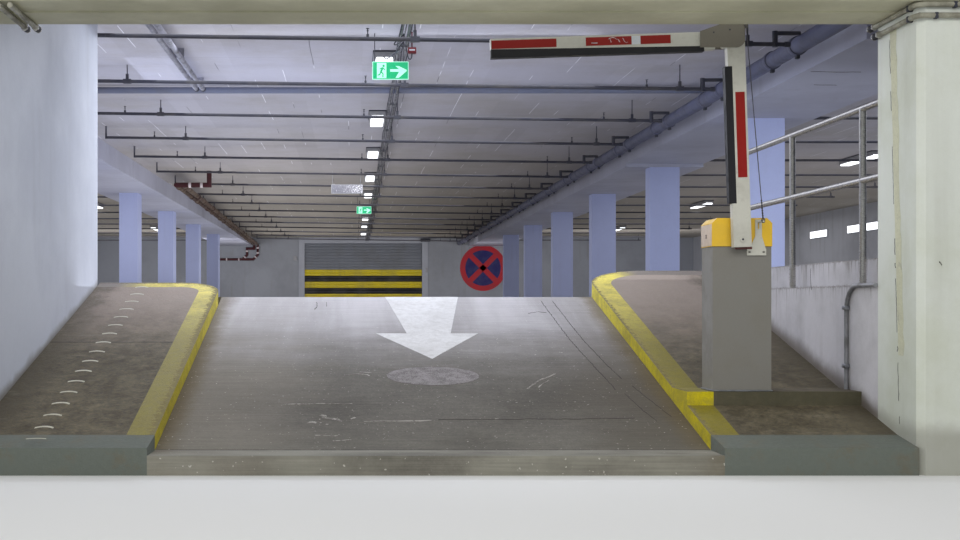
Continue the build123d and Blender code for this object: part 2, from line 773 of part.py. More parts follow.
def wire_anchor():
    """Bell-shaped bracket on the cabinet's face, slotted, with the pin for the wire's lower eye."""
    pin_reach = CABINET_FRONT - WIRE_Y + EYE_THICKNESS
    slot_middle = (ANCHOR_SLOT_LOW - 2 * WIRE_RADIUS) / 2
    foot_middle = (ANCHOR_FOOT_TOP + ANCHOR_FOOT_LOW) / 2
    front = front_plane(ANCHOR_X, CABINET_FRONT, ANCHOR_Z)
    with BuildPart() as anchor:
        with BuildSketch(front):
            with BuildLine():
                Polyline(
                    (-ANCHOR_NECK, ANCHOR_TOP),
                    (ANCHOR_NECK, ANCHOR_TOP),
                    (ANCHOR_NECK, ANCHOR_NECK_LOW),
                    (ANCHOR_FLARE[1], ANCHOR_FOOT_TOP),
                    (ANCHOR_FOOT[1], ANCHOR_FOOT_TOP),
                    (ANCHOR_FOOT[1], ANCHOR_FOOT_LOW),
                    (ANCHOR_FOOT[0], ANCHOR_FOOT_LOW),
                    (ANCHOR_FOOT[0], ANCHOR_FOOT_TOP),
                    (ANCHOR_FLARE[0], ANCHOR_FOOT_TOP),
                    (-ANCHOR_NECK, ANCHOR_NECK_LOW),
                    close=True,
                )
            make_face()
            with Locations((0, slot_middle)):
                Rectangle(ANCHOR_SLOT_WIDTH, -ANCHOR_SLOT_LOW - 2 * WIRE_RADIUS, mode=Mode.SUBTRACT)
            for end in (ANCHOR_FOOT[0] + ANCHOR_HOLE_WIDTH, ANCHOR_FOOT[1] - ANCHOR_HOLE_WIDTH):
                with Locations((end, foot_middle)):
                    Rectangle(ANCHOR_HOLE_WIDTH, ANCHOR_HOLE_HEIGHT, mode=Mode.SUBTRACT)
        extrude(amount=PLATE_THICKNESS)
        with BuildSketch(front):
            Circle(2 * WIRE_RADIUS)
        extrude(amount=pin_reach)
    return anchor.part


save(tie_wire(), "tie_wire")
save(wire_anchor(), "wire_anchor")

# Sprinkler pipes under the ceiling
BRANCH_RADIUS = 17
BRANCH_BELOW_CEILING = 145
BRANCH_FALL = 0.0135
BRANCH_FIRST = 3660
BRANCH_PITCH = 2137
BRANCH_LAST_GAP = 300
BRANCH_LEFT = -4190
BRANCHES = math.floor((LENGTH - WALL - BRANCH_FIRST - BRANCH_LAST_GAP) / BRANCH_PITCH) + 1
AISLE_BRANCH_REACH = 4260
END_RISER_RADIUS = 12
HANGER_PLACES = (-3170, -527, 2095)
HANGER_ROD = 10
HANGER_NUT = (26, 50)
CLAMP = (74, 44, 42)
MAIN_RADIUS = 68
MAIN_BELOW_CEILING = 200
MAIN_GAP_TO_BEAM = 285
NECK_FROM_MAIN = 256
NECK_RISE = 87
NECK_RADIUS = 22
CROSS_PIPE_RADIUS = 33
CROSS_PIPE_PLACE = 6960
CROSS_PIPE_BELOW_CEILING = 53
MAIN_X = RIGHT_BAND_INNER - MAIN_GAP_TO_BEAM - MAIN_RADIUS
MAIN_Z = CEILING - MAIN_BELOW_CEILING
BRANCH_Z = CEILING - BRANCH_BELOW_CEILING


def rod(start, end, radius):
    """A straight round bar or pipe between two points."""
    axis = Vector(*end) - Vector(*start)
    with BuildPart() as bar:
        with BuildSketch(Plane(origin=start, z_dir=axis)):
            Circle(radius)
        extrude(amount=axis.length)
    return bar.part


def branch_height(x_place):
    """Height of a branch pipe's centre, which falls slightly from its left end."""
    return BRANCH_Z - BRANCH_FALL * (x_place - BRANCH_LEFT)


def hanger(x_place, height):
    """Clamp on a branch pipe, with its nut and its rod up to the ceiling."""
    nut_side, nut_height = HANGER_NUT
    long, across, high = CLAMP
    half = HANGER_ROD / 2
    nut_low = height + high / 2
    pieces = [
        (long / 2, across / 2, height - high / 2, nut_low),
        (nut_side / 2, nut_side / 2, nut_low, nut_low + nut_height),
        (half, half, nut_low, CEILING),
    ]
    clamp, nut, stem = [slab(x_place - a, x_place + a, -b, b, low, top) for a, b, low, top in pieces]
    return clamp + nut + stem


def hall_branch():
    """Branch pipe over the middle aisle, at Y = 0, with its hangers and the swan neck to the main."""
    neck_x = MAIN_X - NECK_FROM_MAIN
    low = branch_height(neck_x)
    top = low + NECK_RISE
    side = math.sqrt(MAIN_RADIUS**2 - (top - BRANCH_RADIUS - MAIN_Z) ** 2)
    end_x = neck_x + 2 * MAIN_RADIUS - BRANCH_RADIUS
    with BuildPart() as branch:
        add(rod((BRANCH_LEFT, 0, BRANCH_Z), (end_x, 0, branch_height(end_x)), BRANCH_RADIUS))
        add(rod((end_x - 2 * NECK_RADIUS, 0, low), (end_x, 0, low), NECK_RADIUS))
        add(rod((neck_x, 0, low - NECK_RADIUS), (neck_x, 0, top + BRANCH_RADIUS), NECK_RADIUS))
        add(rod((neck_x, 0, top), (MAIN_X - side - FIT, 0, top), BRANCH_RADIUS))
        add(rod((BRANCH_LEFT, 0, BRANCH_Z - BRANCH_RADIUS), (BRANCH_LEFT, 0, CEILING), END_RISER_RADIUS))
        for x_place in HANGER_PLACES:
            add(hanger(x_place, branch_height(x_place)))
    return branch.part


def aisle_branch(start_x, side):
    """One branch pipe over a side aisle, at Y = 0, from the band beam's outer face towards the outer wall."""
    height = BRANCH_Z - BRANCH_FALL * AISLE_BRANCH_REACH
    end_x = start_x + side * AISLE_BRANCH_REACH
    with BuildPart() as branch:
        add(rod((start_x, 0, height), (end_x, 0, height), BRANCH_RADIUS))
        add(hanger(end_x - side * CLAMP[0], height))
    return branch.part


def sprinkler_branches():
    """Parallel pipes across the hall and both side aisles."""
    singles = [hall_branch(), aisle_branch(RIGHT_BAND_OUTER, 1), aisle_branch(LEFT_BAND_OUTER, -1)]
    pipes = []
    for index in range(BRANCHES):
        place = Location((0, along(BRANCH_FIRST + index * BRANCH_PITCH), 0))
        pipes.extend(single.moved(place) for single in singles)
    return Compound(children=pipes)


CROSS_PIPE_Z = CEILING - CROSS_PIPE_BELOW_CEILING
save(sprinkler_branches(), "sprinkler_branches")
save(rod((MAIN_X, along(WALL), MAIN_Z), (MAIN_X, REAR_FACE, MAIN_Z), MAIN_RADIUS), "sprinkler_main")
save(
    rod(
        (LEFT_BAND_INNER, along(CROSS_PIPE_PLACE), CROSS_PIPE_Z),
        (RIGHT_BAND_INNER, along(CROSS_PIPE_PLACE), CROSS_PIPE_Z),
        CROSS_PIPE_RADIUS,
    ),
    "cross_pipe",
)

# Wrapped fire main: two pipes along the left band beam that drop at the rear wall
FIRE_RADIUS = 42
FIRE_NEAR_X = (-4060, -3940)
FIRE_FAR_X = (-4455, -4335)
FIRE_BELOW_CEILING = 240
FIRE_START = 15700
FIRE_STUB_X = -3500
FIRE_WALL_GAP = 0.3
FIRE_DROP_X = -4700
FIRE_CHAMFER = 150
FIRE_UNDER_BEAM = 60
FIRE_LOW = 2400
FIRE_END_X = -5900


def bent_pipe(points, radius):
    """A pipe along straight runs that meet in mitred corners."""
    with BuildPart() as pipe:
        with BuildLine() as path:
            Polyline(points)
        with BuildSketch(Plane(origin=path.line @ 0, z_dir=path.line % 0)):
            Circle(radius)
        sweep(transition=Transition.RIGHT)
    return pipe.part


def fire_main():
    """The pair of runs from the ceiling stub to the low run along the rear wall."""
    height = CEILING - FIRE_BELOW_CEILING
    rear = REAR_FACE - FIRE_RADIUS - FIRE_WALL_GAP
    start = along(FIRE_START)
    dip = BEAM_SOFFIT - FIRE_UNDER_BEAM - FIRE_RADIUS
    outer_near, inner_near = FIRE_NEAR_X
    outer_far, inner_far = FIRE_FAR_X
    turn = FIRE_LOW + FIRE_CHAMFER
    first = bent_pipe(
        [
            (FIRE_STUB_X, start, CEILING),
            (FIRE_STUB_X, start, height),
            (outer_near, start, height),
            (outer_far, rear, height),
            (outer_far, rear, dip),
            (FIRE_DROP_X, rear, dip),
            (FIRE_DROP_X, rear, turn),
            (FIRE_DROP_X - FIRE_CHAMFER, rear, FIRE_LOW),
            (FIRE_END_X, rear, FIRE_LOW),
        ],
        FIRE_RADIUS,
    )
    second = bent_pipe(
        [
            (inner_near, start, height),
            (inner_far, rear, height),
            (inner_far, rear, turn),
            (inner_far - FIRE_CHAMFER, rear, FIRE_LOW),
            (FIRE_DROP_X - FIRE_CHAMFER, rear, FIRE_LOW),
        ],
        FIRE_RADIUS,
    )
    return first + second


save(fire_main(), "fire_main")

# Conduits: a pair of rails under the ceiling, a pair on the left, and those at the portal and on the low wall
RAIL_PAIR_X = (-625, -570)
RAIL_PAIR_RADIUS = 11
RAIL_PAIR_BELOW_CEILING = 105
LEFT_PAIR_X = (-2623, -2555)
LEFT_PAIR_RADIUS = 23
LEFT_PAIR_BELOW_CEILING = 82
LEFT_PAIR_END = 6710
LEFT_CLIPS = (3400, 5000, 6500)
CLIP_WIDTH = 130
CLIP_LENGTH = 24
CONDUIT_RADIUS = 12
WALL_CONDUIT_PLACE = 947
WALL_CONDUIT_RISE = 50
WALL_CONDUIT_BEND = 150
PORTAL_CONDUIT_RADIUS = 14
PORTAL_STUB_X = (-2810, -2750)
PORTAL_STUB_END = 580
CORNER_BEND = 45
PORTAL_RUN_DROP = 69


def smooth_pipe(points, radius, bend):
    """A pipe along straight runs that meet in rounded bends."""
    with BuildPart() as pipe:
        with BuildLine() as path:
            FilletPolyline(points, radius=bend)
        with BuildSketch(Plane(origin=path.line @ 0, z_dir=path.line % 0)):
            Circle(radius)
        sweep()
    return pipe.part


def conduits():
    """All conduits of the building, each one a solid of its own."""
    rail_z = CEILING - RAIL_PAIR_BELOW_CEILING
    pair_z = CEILING - LEFT_PAIR_BELOW_CEILING
    inner_face = PIT_RIGHT - PORTAL_CONDUIT_RADIUS
    high = PORTAL_SOFFIT - PORTAL_CONDUIT_RADIUS
    low = PORTAL_SOFFIT - PORTAL_RUN_DROP
    before = FRONT - PORTAL_CONDUIT_RADIUS
    wall_x = PIT_RIGHT - CONDUIT_RADIUS
    wall_y = along(WALL_CONDUIT_PLACE)
    wall_z = FLOOR_TOP + WALL_CONDUIT_RISE
    lines = []
    for x_place in RAIL_PAIR_X:
        rear = REAR_FACE - SURROUND_DEPTH
        lines.append(rod((x_place, along(PORTAL_DEPTH), rail_z), (x_place, rear, rail_z), RAIL_PAIR_RADIUS))
    with BuildPart() as pair:
        for x_place in LEFT_PAIR_X:
            ends = [(x_place, along(place), pair_z) for place in (PORTAL_DEPTH, LEFT_PAIR_END)]
            add(rod(*ends, LEFT_PAIR_RADIUS))
        for place in LEFT_CLIPS:
            middle = sum(LEFT_PAIR_X) / 2
            half = CLIP_WIDTH / 2
            add(slab(middle - half, middle + half, along(place), along(place + CLIP_LENGTH), pair_z, CEILING))
    lines.append(pair.part)
    for x_place in PORTAL_STUB_X:
        stub_end = (x_place, along(PORTAL_STUB_END), high)
        lines.append(rod((x_place, FRONT, high), stub_end, PORTAL_CONDUIT_RADIUS))
    for height, rear_end in ((high, PORTAL_STUB_END), (low, PORTAL_DEPTH)):
        points = [
            (inner_face, along(rear_end), height),
            (inner_face, before, height),
            (PIT_RIGHT + PIER_WIDTH, before, height),
        ]
        lines.append(smooth_pipe(points, PORTAL_CONDUIT_RADIUS, CORNER_BEND))
    rise = [(wall_x, wall_y, PLATFORM), (wall_x, wall_y, wall_z), (wall_x, along(PORTAL_DEPTH), wall_z)]
    lines.append(smooth_pipe(rise, CONDUIT_RADIUS, WALL_CONDUIT_BEND))
    return Compound(children=lines)


save(conduits(), "conduits")

# Light fittings, in one row over each aisle
LIGHT_WIDTH = 195
LIGHT_LENGTH = 750
LIGHT_HEIGHT = 75
LIGHT_X = -735
LIGHT_FIRST = 5090
LIGHT_PITCH = 3600
LIGHT_LAST_GAP = 3000
AISLE_LIGHTS = ((-6850, 1300), (6760, 1300))
AISLE_LIGHT_FIRST = 12700


def light_fittings():
    """Box luminaires that hang flush under the ceiling."""
    rows = [(LIGHT_X, LIGHT_LENGTH, LIGHT_FIRST, LIGHT_PITCH)]
    rows += [(x_place, length, AISLE_LIGHT_FIRST, BAY) for x_place, length in AISLE_LIGHTS]
    boxes = []
    for x_place, length, first, pitch in rows:
        count = math.floor((LENGTH - WALL - first - LIGHT_LAST_GAP) / pitch) + 1
        for index in range(count):
            start = along(first + index * pitch)
            low = CEILING - LIGHT_HEIGHT
            left = x_place - LIGHT_WIDTH / 2
            boxes.append(slab(left, left + LIGHT_WIDTH, start, start + length, low, CEILING))
    return Compound(children=boxes)


save(light_fittings(), "light_fittings")

# Lit signs: two exit signs and a panel that hang over the middle aisle, and two boxes on the right wall
SIGN_WIDTH = 305
SIGN_HEIGHT = 152
SIGN_THICKNESS = 30
SIGN_BELOW_CEILING = 240
SIGN_WIRE = 2
SIGN_WIRE_INSET = 20
HUNG_SIGNS = ((-854, 4350, SIGN_WIDTH), (-964, 20610, SIGN_WIDTH), (-1405, 15610, 538))
WALL_SIGNS = ((25300, 1200), (22200, 1800))
WALL_SIGN_LOW = 2520
WALL_SIGN_HEIGHT = 190


def lit_signs():
    """Sign boxes: those over the middle aisle hang by two wires each."""
    top = CEILING - SIGN_BELOW_CEILING
    signs = []
    for x_low, place, width in HUNG_SIGNS:
        y_low = along(place)
        with BuildPart() as sign:
            add(slab(x_low, x_low + width, y_low, y_low + SIGN_THICKNESS, top - SIGN_HEIGHT, top))
            for x_place in (x_low + SIGN_WIRE_INSET, x_low + width - 2 * SIGN_WIRE_INSET):
                middle = y_low + SIGN_THICKNESS / 2
                add(rod((x_place, middle, top), (x_place, middle, CEILING), SIGN_WIRE))
        signs.append(sign.part)
    for place, length in WALL_SIGNS:
        x_low, z_high = INNER_HALF - SIGN_THICKNESS, WALL_SIGN_LOW + WALL_SIGN_HEIGHT
        signs.append(slab(x_low, INNER_HALF, along(place), along(place + length), WALL_SIGN_LOW, z_high))
    return Compound(children=signs)


save(lit_signs(), "lit_signs")
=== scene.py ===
"""Underground car park: finishes, small fittings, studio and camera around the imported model.

Every length is in metres, in the model's own frame: +X to the right and +Y inwards for someone who drives in, +Z up.
"""

import logging
import math
import random
from abc import ABC, abstractmethod
from dataclasses import dataclass
from enum import Enum

import bpy
from mathutils import Matrix, Vector

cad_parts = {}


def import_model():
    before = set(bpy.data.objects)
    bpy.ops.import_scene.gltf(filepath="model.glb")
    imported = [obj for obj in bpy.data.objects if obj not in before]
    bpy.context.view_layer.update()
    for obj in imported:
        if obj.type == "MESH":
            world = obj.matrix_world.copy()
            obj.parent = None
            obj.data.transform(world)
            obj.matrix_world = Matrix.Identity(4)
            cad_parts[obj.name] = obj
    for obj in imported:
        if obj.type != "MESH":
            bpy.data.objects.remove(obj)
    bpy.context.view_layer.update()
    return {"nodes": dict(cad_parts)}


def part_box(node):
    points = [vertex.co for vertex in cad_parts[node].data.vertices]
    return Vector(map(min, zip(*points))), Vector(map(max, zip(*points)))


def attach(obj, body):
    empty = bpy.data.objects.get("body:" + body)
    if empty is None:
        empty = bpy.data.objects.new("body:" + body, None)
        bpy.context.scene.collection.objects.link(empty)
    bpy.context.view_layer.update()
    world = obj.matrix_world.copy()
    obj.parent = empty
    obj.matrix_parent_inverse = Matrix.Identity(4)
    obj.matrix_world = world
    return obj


log = logging.getLogger("car_park")

Flat = tuple[float, float]
Point = tuple[float, float, float]
Colour = tuple[float, float, float] | tuple[int, int, int]
Outline = list[Flat]
Piece = bpy.types.Object

BUILDING = "building"

# Levels and places of the model that many pieces share
FRONT = -19.125
LANE_TOP = 0.1
RAMP_FOOT = FRONT + 0.26
RAMP_SLOPE = 0.825 / 3.44
CREST = RAMP_FOOT + 3.44
WALK_START = LANE_TOP + 0.08
WALK_SLOPE = RAMP_SLOPE + 0.00867
PIER_FACE = 1.86
FLOOR = 0.925
CEILING = 3.15


def ramp_height(place: float) -> float:
    """Height of the ramp's surface at a place along Y."""
    return LANE_TOP + (place - RAMP_FOOT) * RAMP_SLOPE


def up_slope(place: float) -> float:
    """Distance up the ramp's surface from its foot to a place along Y."""
    return (place - RAMP_FOOT) * math.hypot(1.0, RAMP_SLOPE)


def screen(red: int, green: int, blue: int) -> Colour:
    """Turn a colour as a screen shows it, 0 to 255, into the shader's linear values.

    Args:
        red: the red channel, 0 to 255.
        green: the green channel.
        blue: the blue channel.

    Returns:
        The linear colour.
    """
    def linear(part: int) -> float:
        """Turn one channel linear."""
        share = part / 255
        return share / 12.92 if share <= 0.04045 else ((share + 0.055) / 1.055) ** 2.4

    return linear(red), linear(green), linear(blue)


class Axis(Enum):
    """A direction of the model."""

    X = 0
    Y = 1
    Z = 2


class Value:
    """An output of a node, with which sums and products can be written."""

    def __init__(self, graph: "Graph", socket: bpy.types.NodeSocket) -> None:
        """Keep the output and the graph that it belongs to."""
        self.graph, self.socket = graph, socket

    def __add__(self, other: object) -> "Value":
        """Add a value."""
        return self.graph.math("ADD", self, other)

    def __sub__(self, other: object) -> "Value":
        """Take a value away."""
        return self.graph.math("SUBTRACT", self, other)

    def __rsub__(self, other: object) -> "Value":
        """Take this value away from a number."""
        return self.graph.math("SUBTRACT", other, self)

    def __mul__(self, other: object) -> "Value":
        """Multiply by a value."""
        return self.graph.math("MULTIPLY", self, other)


Values = dict[str, Value]


class Graph:
    """Places nodes in one node tree and joins their sockets."""

    def __init__(self, tree: bpy.types.NodeTree) -> None:
        """Keep the tree that the nodes go into."""
        self.tree = tree

    def node(self, kind: str, *sources: object, **settings: object) -> bpy.types.Node:
        """Add a node.

        Args:
            kind: the node's type, without its ShaderNode prefix.
            sources: what its first inputs take, in their order.
            settings: attributes to set on it.

        Returns:
            The new node.
        """
        made = self.tree.nodes.new("ShaderNode" + kind)
        for name, value in settings.items():
            setattr(made, name, value)
        for socket, source in zip(made.inputs, sources):
            self.feed(socket, source)
        return made

    def feed(self, socket: bpy.types.NodeSocket, source: object) -> None:
        """Join an output to an input, or set the input's value.

        Args:
            socket: the input.
            source: an output, a number, a vector or a colour, in whole numbers if it is as a screen shows it.
        """
        if isinstance(source, Value):
            self.tree.links.new(source.socket, socket)
        elif isinstance(source, (int, float)):
            socket.default_value = source
        else:
            values = screen(*source) if isinstance(source[0], int) else source
            socket.default_value = (*values, 1.0)[:len(socket.default_value)]

    def fill(self, node: bpy.types.Node, **values: object) -> Values:
        """Feed inputs of a node by their names.

        Args:
            node: the node.
            values: its inputs, with underscores in place of spaces.

        Returns:
            The node's outputs by name.
        """
        for name, value in values.items():
            self.feed(node.inputs[name.replace("_", " ")], value)
        return {name: Value(self, socket) for name, socket in node.outputs.items()}

    def math(self, operation: str, first: object, second: object = 0.0, clamp: bool = False) -> Value:
        """Combine two values by Blender's name of the sum, held between 0 and 1 if asked."""
        return Value(self, self.node("Math", first, second, operation=operation, use_clamp=clamp).outputs[0])

    def between(self, value: object, low: object, high: object, start: object = 0.0, end: object = 1.0) -> Value:
        """Rescale a value smoothly, so that low becomes start and high becomes end, and hold it at both."""
        made = self.node("MapRange", value, low, high, start, end, interpolation_type="SMOOTHSTEP")
        return Value(self, made.outputs[0])

    def mix(self, share: object, first: object, second: object) -> Value:
        """Mix two colours.

        Args:
            share: how much of the second colour shows, 0 to 1.
            first: the first colour or output.
            second: the second colour or output.

        Returns:
            The output with the mixed colour.
        """
        made = self.node("Mix", share, data_type="RGBA")
        self.feed(made.inputs[6], first)
        self.feed(made.inputs[7], second)
        return Value(self, made.outputs[2])

    def noise(self, vector: object, scale: object, detail: float = 4.0, roughness: float = 0.55) -> Value:
        """Sample a cloudy pattern around a half.

        Args:
            vector: the place.
            scale: how many clouds lie on a metre.
            detail: how many finer layers it has.
            roughness: how strong those are.

        Returns:
            The output with the pattern.
        """
        made = self.node("TexNoise")
        self.fill(made, Vector=vector, Scale=scale, Detail=detail, Roughness=roughness)
        return Value(self, made.outputs[0])

    def stretched(self, vector: object, scale: Point) -> Value:
        """Scale a place along each axis."""
        return Value(self, self.node("VectorMath", vector, scale, operation="MULTIPLY").outputs[0])

    def toned(self, colour: object, gain: object) -> Value:
        """Lighten or darken a colour."""
        made = self.node("VectorMath", colour, operation="SCALE")
        return self.fill(made, Scale=gain)["Vector"]

    def part(self, vector: object, axis: Axis) -> Value:
        """Take one axis of a place."""
        return Value(self, self.node("SeparateXYZ", vector).outputs[axis.value])

    def place(self) -> Value:
        """Read the place in the model's frame."""
        return Value(self, self.node("TexCoord").outputs["Object"])

    def facing(self) -> Value:
        """Read how far the surface faces up, 1 when it lies flat."""
        return self.part(Value(self, self.node("TexCoord").outputs["Normal"]), Axis.Z)

    def use(self, effect: "Effect", vector: Value, **values: object) -> Values:
        """Place a shared effect, set its inputs and give its outputs by name."""
        return self.fill(self.node("Group", vector, node_tree=effect.value.tree()), **values)

    def cloud(
        self, place: Value, colour: object, stain: object, *, stains: float, broad: float, speckle: float, fine: float,
    ) -> Values:
        """Stain and speckle a colour; broad and fine are the scales of the stains and of the speckle."""
        stained = {"Color": colour, "Stain": stain, "Stains": stains, "Stain_Scale": broad}
        return self.use(Effect.CLOUDING, place, **stained, Speckle=speckle, Speckle_Scale=fine)

    def shade(self, **values: object) -> None:
        """Feed inputs of the material's shader."""
        self.fill(self.tree.nodes["Principled BSDF"], **values)

    def skin(self, colour: object, roughness: object, height: object, strength: float, distance: float) -> None:
        """Feed the material's shader with its colour, its roughness and its relief.

        Args:
            colour: the output with the colour.
            roughness: the output with the roughness.
            height: the output with the height, 0 to 1.
            strength: how much of the relief shows, 0 to 1.
            distance: how far a height of 1 stands out.
        """
        relief = self.node("Bump")
        self.fill(relief, Strength=strength, Distance=distance, Height=height)
        self.shade(Base_Color=colour, Roughness=roughness, Normal=Value(self, relief.outputs[0]))


class EffectGroup(ABC):
    """A shader node group that several finishes share, built once."""

    name: str
    inputs: dict[str, object]
    outputs: tuple[str, ...]

    @staticmethod
    def kind(value: object) -> str:
        """Blender's name of the socket that holds a number, a colour or, where there is no value, a place."""
        return "NodeSocket" + {float: "Float", tuple: "Color"}.get(type(value), "Vector")

    def tree(self) -> bpy.types.NodeTree:
        """Give the group's tree, made at its first use.

        Returns:
            The tree.
        """
        ready = bpy.data.node_groups.get(self.name)
        if ready is not None:
            return ready
        tree = bpy.data.node_groups.new(self.name, "ShaderNodeTree")
        for name, value in self.inputs.items():
            socket = tree.interface.new_socket(name, in_out="INPUT", socket_type=self.kind(value))
            if value is not None:
                socket.default_value = value
        for name in self.outputs:
            kind = self.kind(WHITE if name == "Color" else 0.0)
            tree.interface.new_socket(name, in_out="OUTPUT", socket_type=kind)
        start, end = tree.nodes.new("NodeGroupInput"), tree.nodes.new("NodeGroupOutput")
        graph = Graph(tree)
        given = {name: Value(graph, start.outputs[name]) for name in self.inputs}
        for name, source in self.build(graph, given).items():
            graph.feed(end.inputs[name], source)
        return tree

    @abstractmethod
    def build(self, graph: Graph, given: Values) -> Values:
        """Place the effect's nodes and give the output for each of its names.

        Args:
            graph: the nodes to add to.
            given: the outputs of the group's inputs, by name.

        Returns:
            The output for each of the effect's names.
        """


WHITE = (1.0, 1.0, 1.0, 1.0)


class Clouding(EffectGroup):
    """Broad stains and fine speckle over a colour, with the height of the grain."""

    name = "Clouding"
    inputs = {
        "Vector": None, "Color": WHITE, "Stain": WHITE, "Stains": 0.5, "Stain Scale": 0.8, "Speckle": 0.2,
        "Speckle Scale": 90.0,
    }
    outputs = ("Color", "Height", "Mask")

    def build(self, graph: Graph, given: Values) -> Values:
        """Mix two sizes of cloud, then lighten and darken by a fine grain.

        Args:
            graph: the nodes to add to.
            given: the outputs of the group's inputs, by name.

        Returns:
            The output for each of the effect's names.
        """
        broad = graph.noise(given["Vector"], given["Stain Scale"], 6.0, 0.62)
        mask = graph.between(broad, 0.38, 0.7)
        stained = graph.mix(mask * given["Stains"], given["Color"], given["Stain"])
        fine = graph.noise(given["Vector"], given["Speckle Scale"], 3.0, 0.7)
        coarse = graph.noise(given["Vector"], given["Speckle Scale"] * 0.28, 6.0, 0.8)
        both = fine - 0.5 + (coarse - 0.5)
        gain = both * given["Speckle"] * 2.2 + 1.0
        return {"Color": graph.toned(stained, gain), "Height": fine, "Mask": mask}


class Runs(EffectGroup):
    """Dark runs of dirty water down a wall."""

    name = "Runs"
    inputs = {"Vector": None, "Color": WHITE, "Run": WHITE, "Amount": 0.4, "Across": 6.0}
    outputs = ("Color",)

    def build(self, graph: Graph, given: Values) -> Values:
        """Stretch a noise downwards and break it with a broader one.

        Args:
            graph: the nodes to add to.
            given: the outputs of the group's inputs, by name.

        Returns:
            The output for each of the effect's names.
        """
        narrow = graph.stretched(given["Vector"], (1.0, 1.0, 0.06))
        lines = graph.between(graph.noise(narrow, given["Across"], 5.0, 0.6), 0.5, 0.72)
        patches = graph.between(graph.noise(given["Vector"], 0.9, 2.0), 0.42, 0.66)
        share = lines * patches * given["Amount"]
        return {"Color": graph.mix(share, given["Color"], given["Run"])}


class FootGrime(EffectGroup):
    """Dirt splashed up a wall from the floor or the ramp at its foot."""

    name = "Foot Grime"
    inputs = {"Vector": None, "Color": WHITE, "Grime": WHITE, "Amount": 0.5, "Reach": 0.3}
    outputs = ("Color", "Mask")

    def build(self, graph: Graph, given: Values) -> Values:
        """Measure the height over the ramp or the hall floor, and fade the dirt upwards with a ragged edge.

        Args:
            graph: the nodes to add to.
            given: the outputs of the group's inputs, by name.

        Returns:
            The output for each of the effect's names.
        """
        along = graph.part(given["Vector"], Axis.Y)
        rise = (along - RAMP_FOOT) * RAMP_SLOPE
        ground = graph.math("MINIMUM", graph.math("MAXIMUM", rise, 0.0), FLOOR - LANE_TOP) + LANE_TOP
        walk = graph.math("LESS_THAN", along, CREST + 0.2) * 0.09
        above = graph.part(given["Vector"], Axis.Z) - (ground + walk)
        ragged = graph.noise(given["Vector"], 3.2, 6.0, 0.65)
        level = ragged * 2.0 * given["Reach"]
        mask = graph.between(above, level, 0.0)
        share = mask * given["Amount"]
        return {"Color": graph.mix(share, given["Color"], given["Grime"]), "Mask": mask}


class WornPaint(EffectGroup):
    """Paint that has flaked and rubbed off what it covers."""

    name = "Worn Paint"
    inputs = {"Vector": None, "Paint": WHITE, "Under": WHITE, "Wear": 0.4, "Wear Scale": 14.0}
    outputs = ("Color", "Mask")

    def build(self, graph: Graph, given: Values) -> Values:
        """Cut a fine noise at a level that a broad noise moves.

        Args:
            graph: the nodes to add to.
            given: the outputs of the group's inputs, by name.

        Returns:
            The output for each of the effect's names.
        """
        fine = graph.noise(given["Vector"], given["Wear Scale"], 8.0, 0.72)
        broad = graph.noise(given["Vector"], given["Wear Scale"] * 0.13, 2.0)
        both = fine * 0.7 + broad * 0.3
        level = graph.between(given["Wear"], 0.0, 1.0, 0.68, 0.36)
        bare = graph.between(both, level - 0.025, level + 0.025)
        tone = graph.noise(given["Vector"], given["Wear Scale"] * 0.5, 3.0)
        faded = graph.mix(graph.between(tone, 0.4, 0.75, 0.0, 0.35), given["Paint"], given["Under"])
        return {"Color": graph.mix(bare, faded, given["Under"]), "Mask": bare}


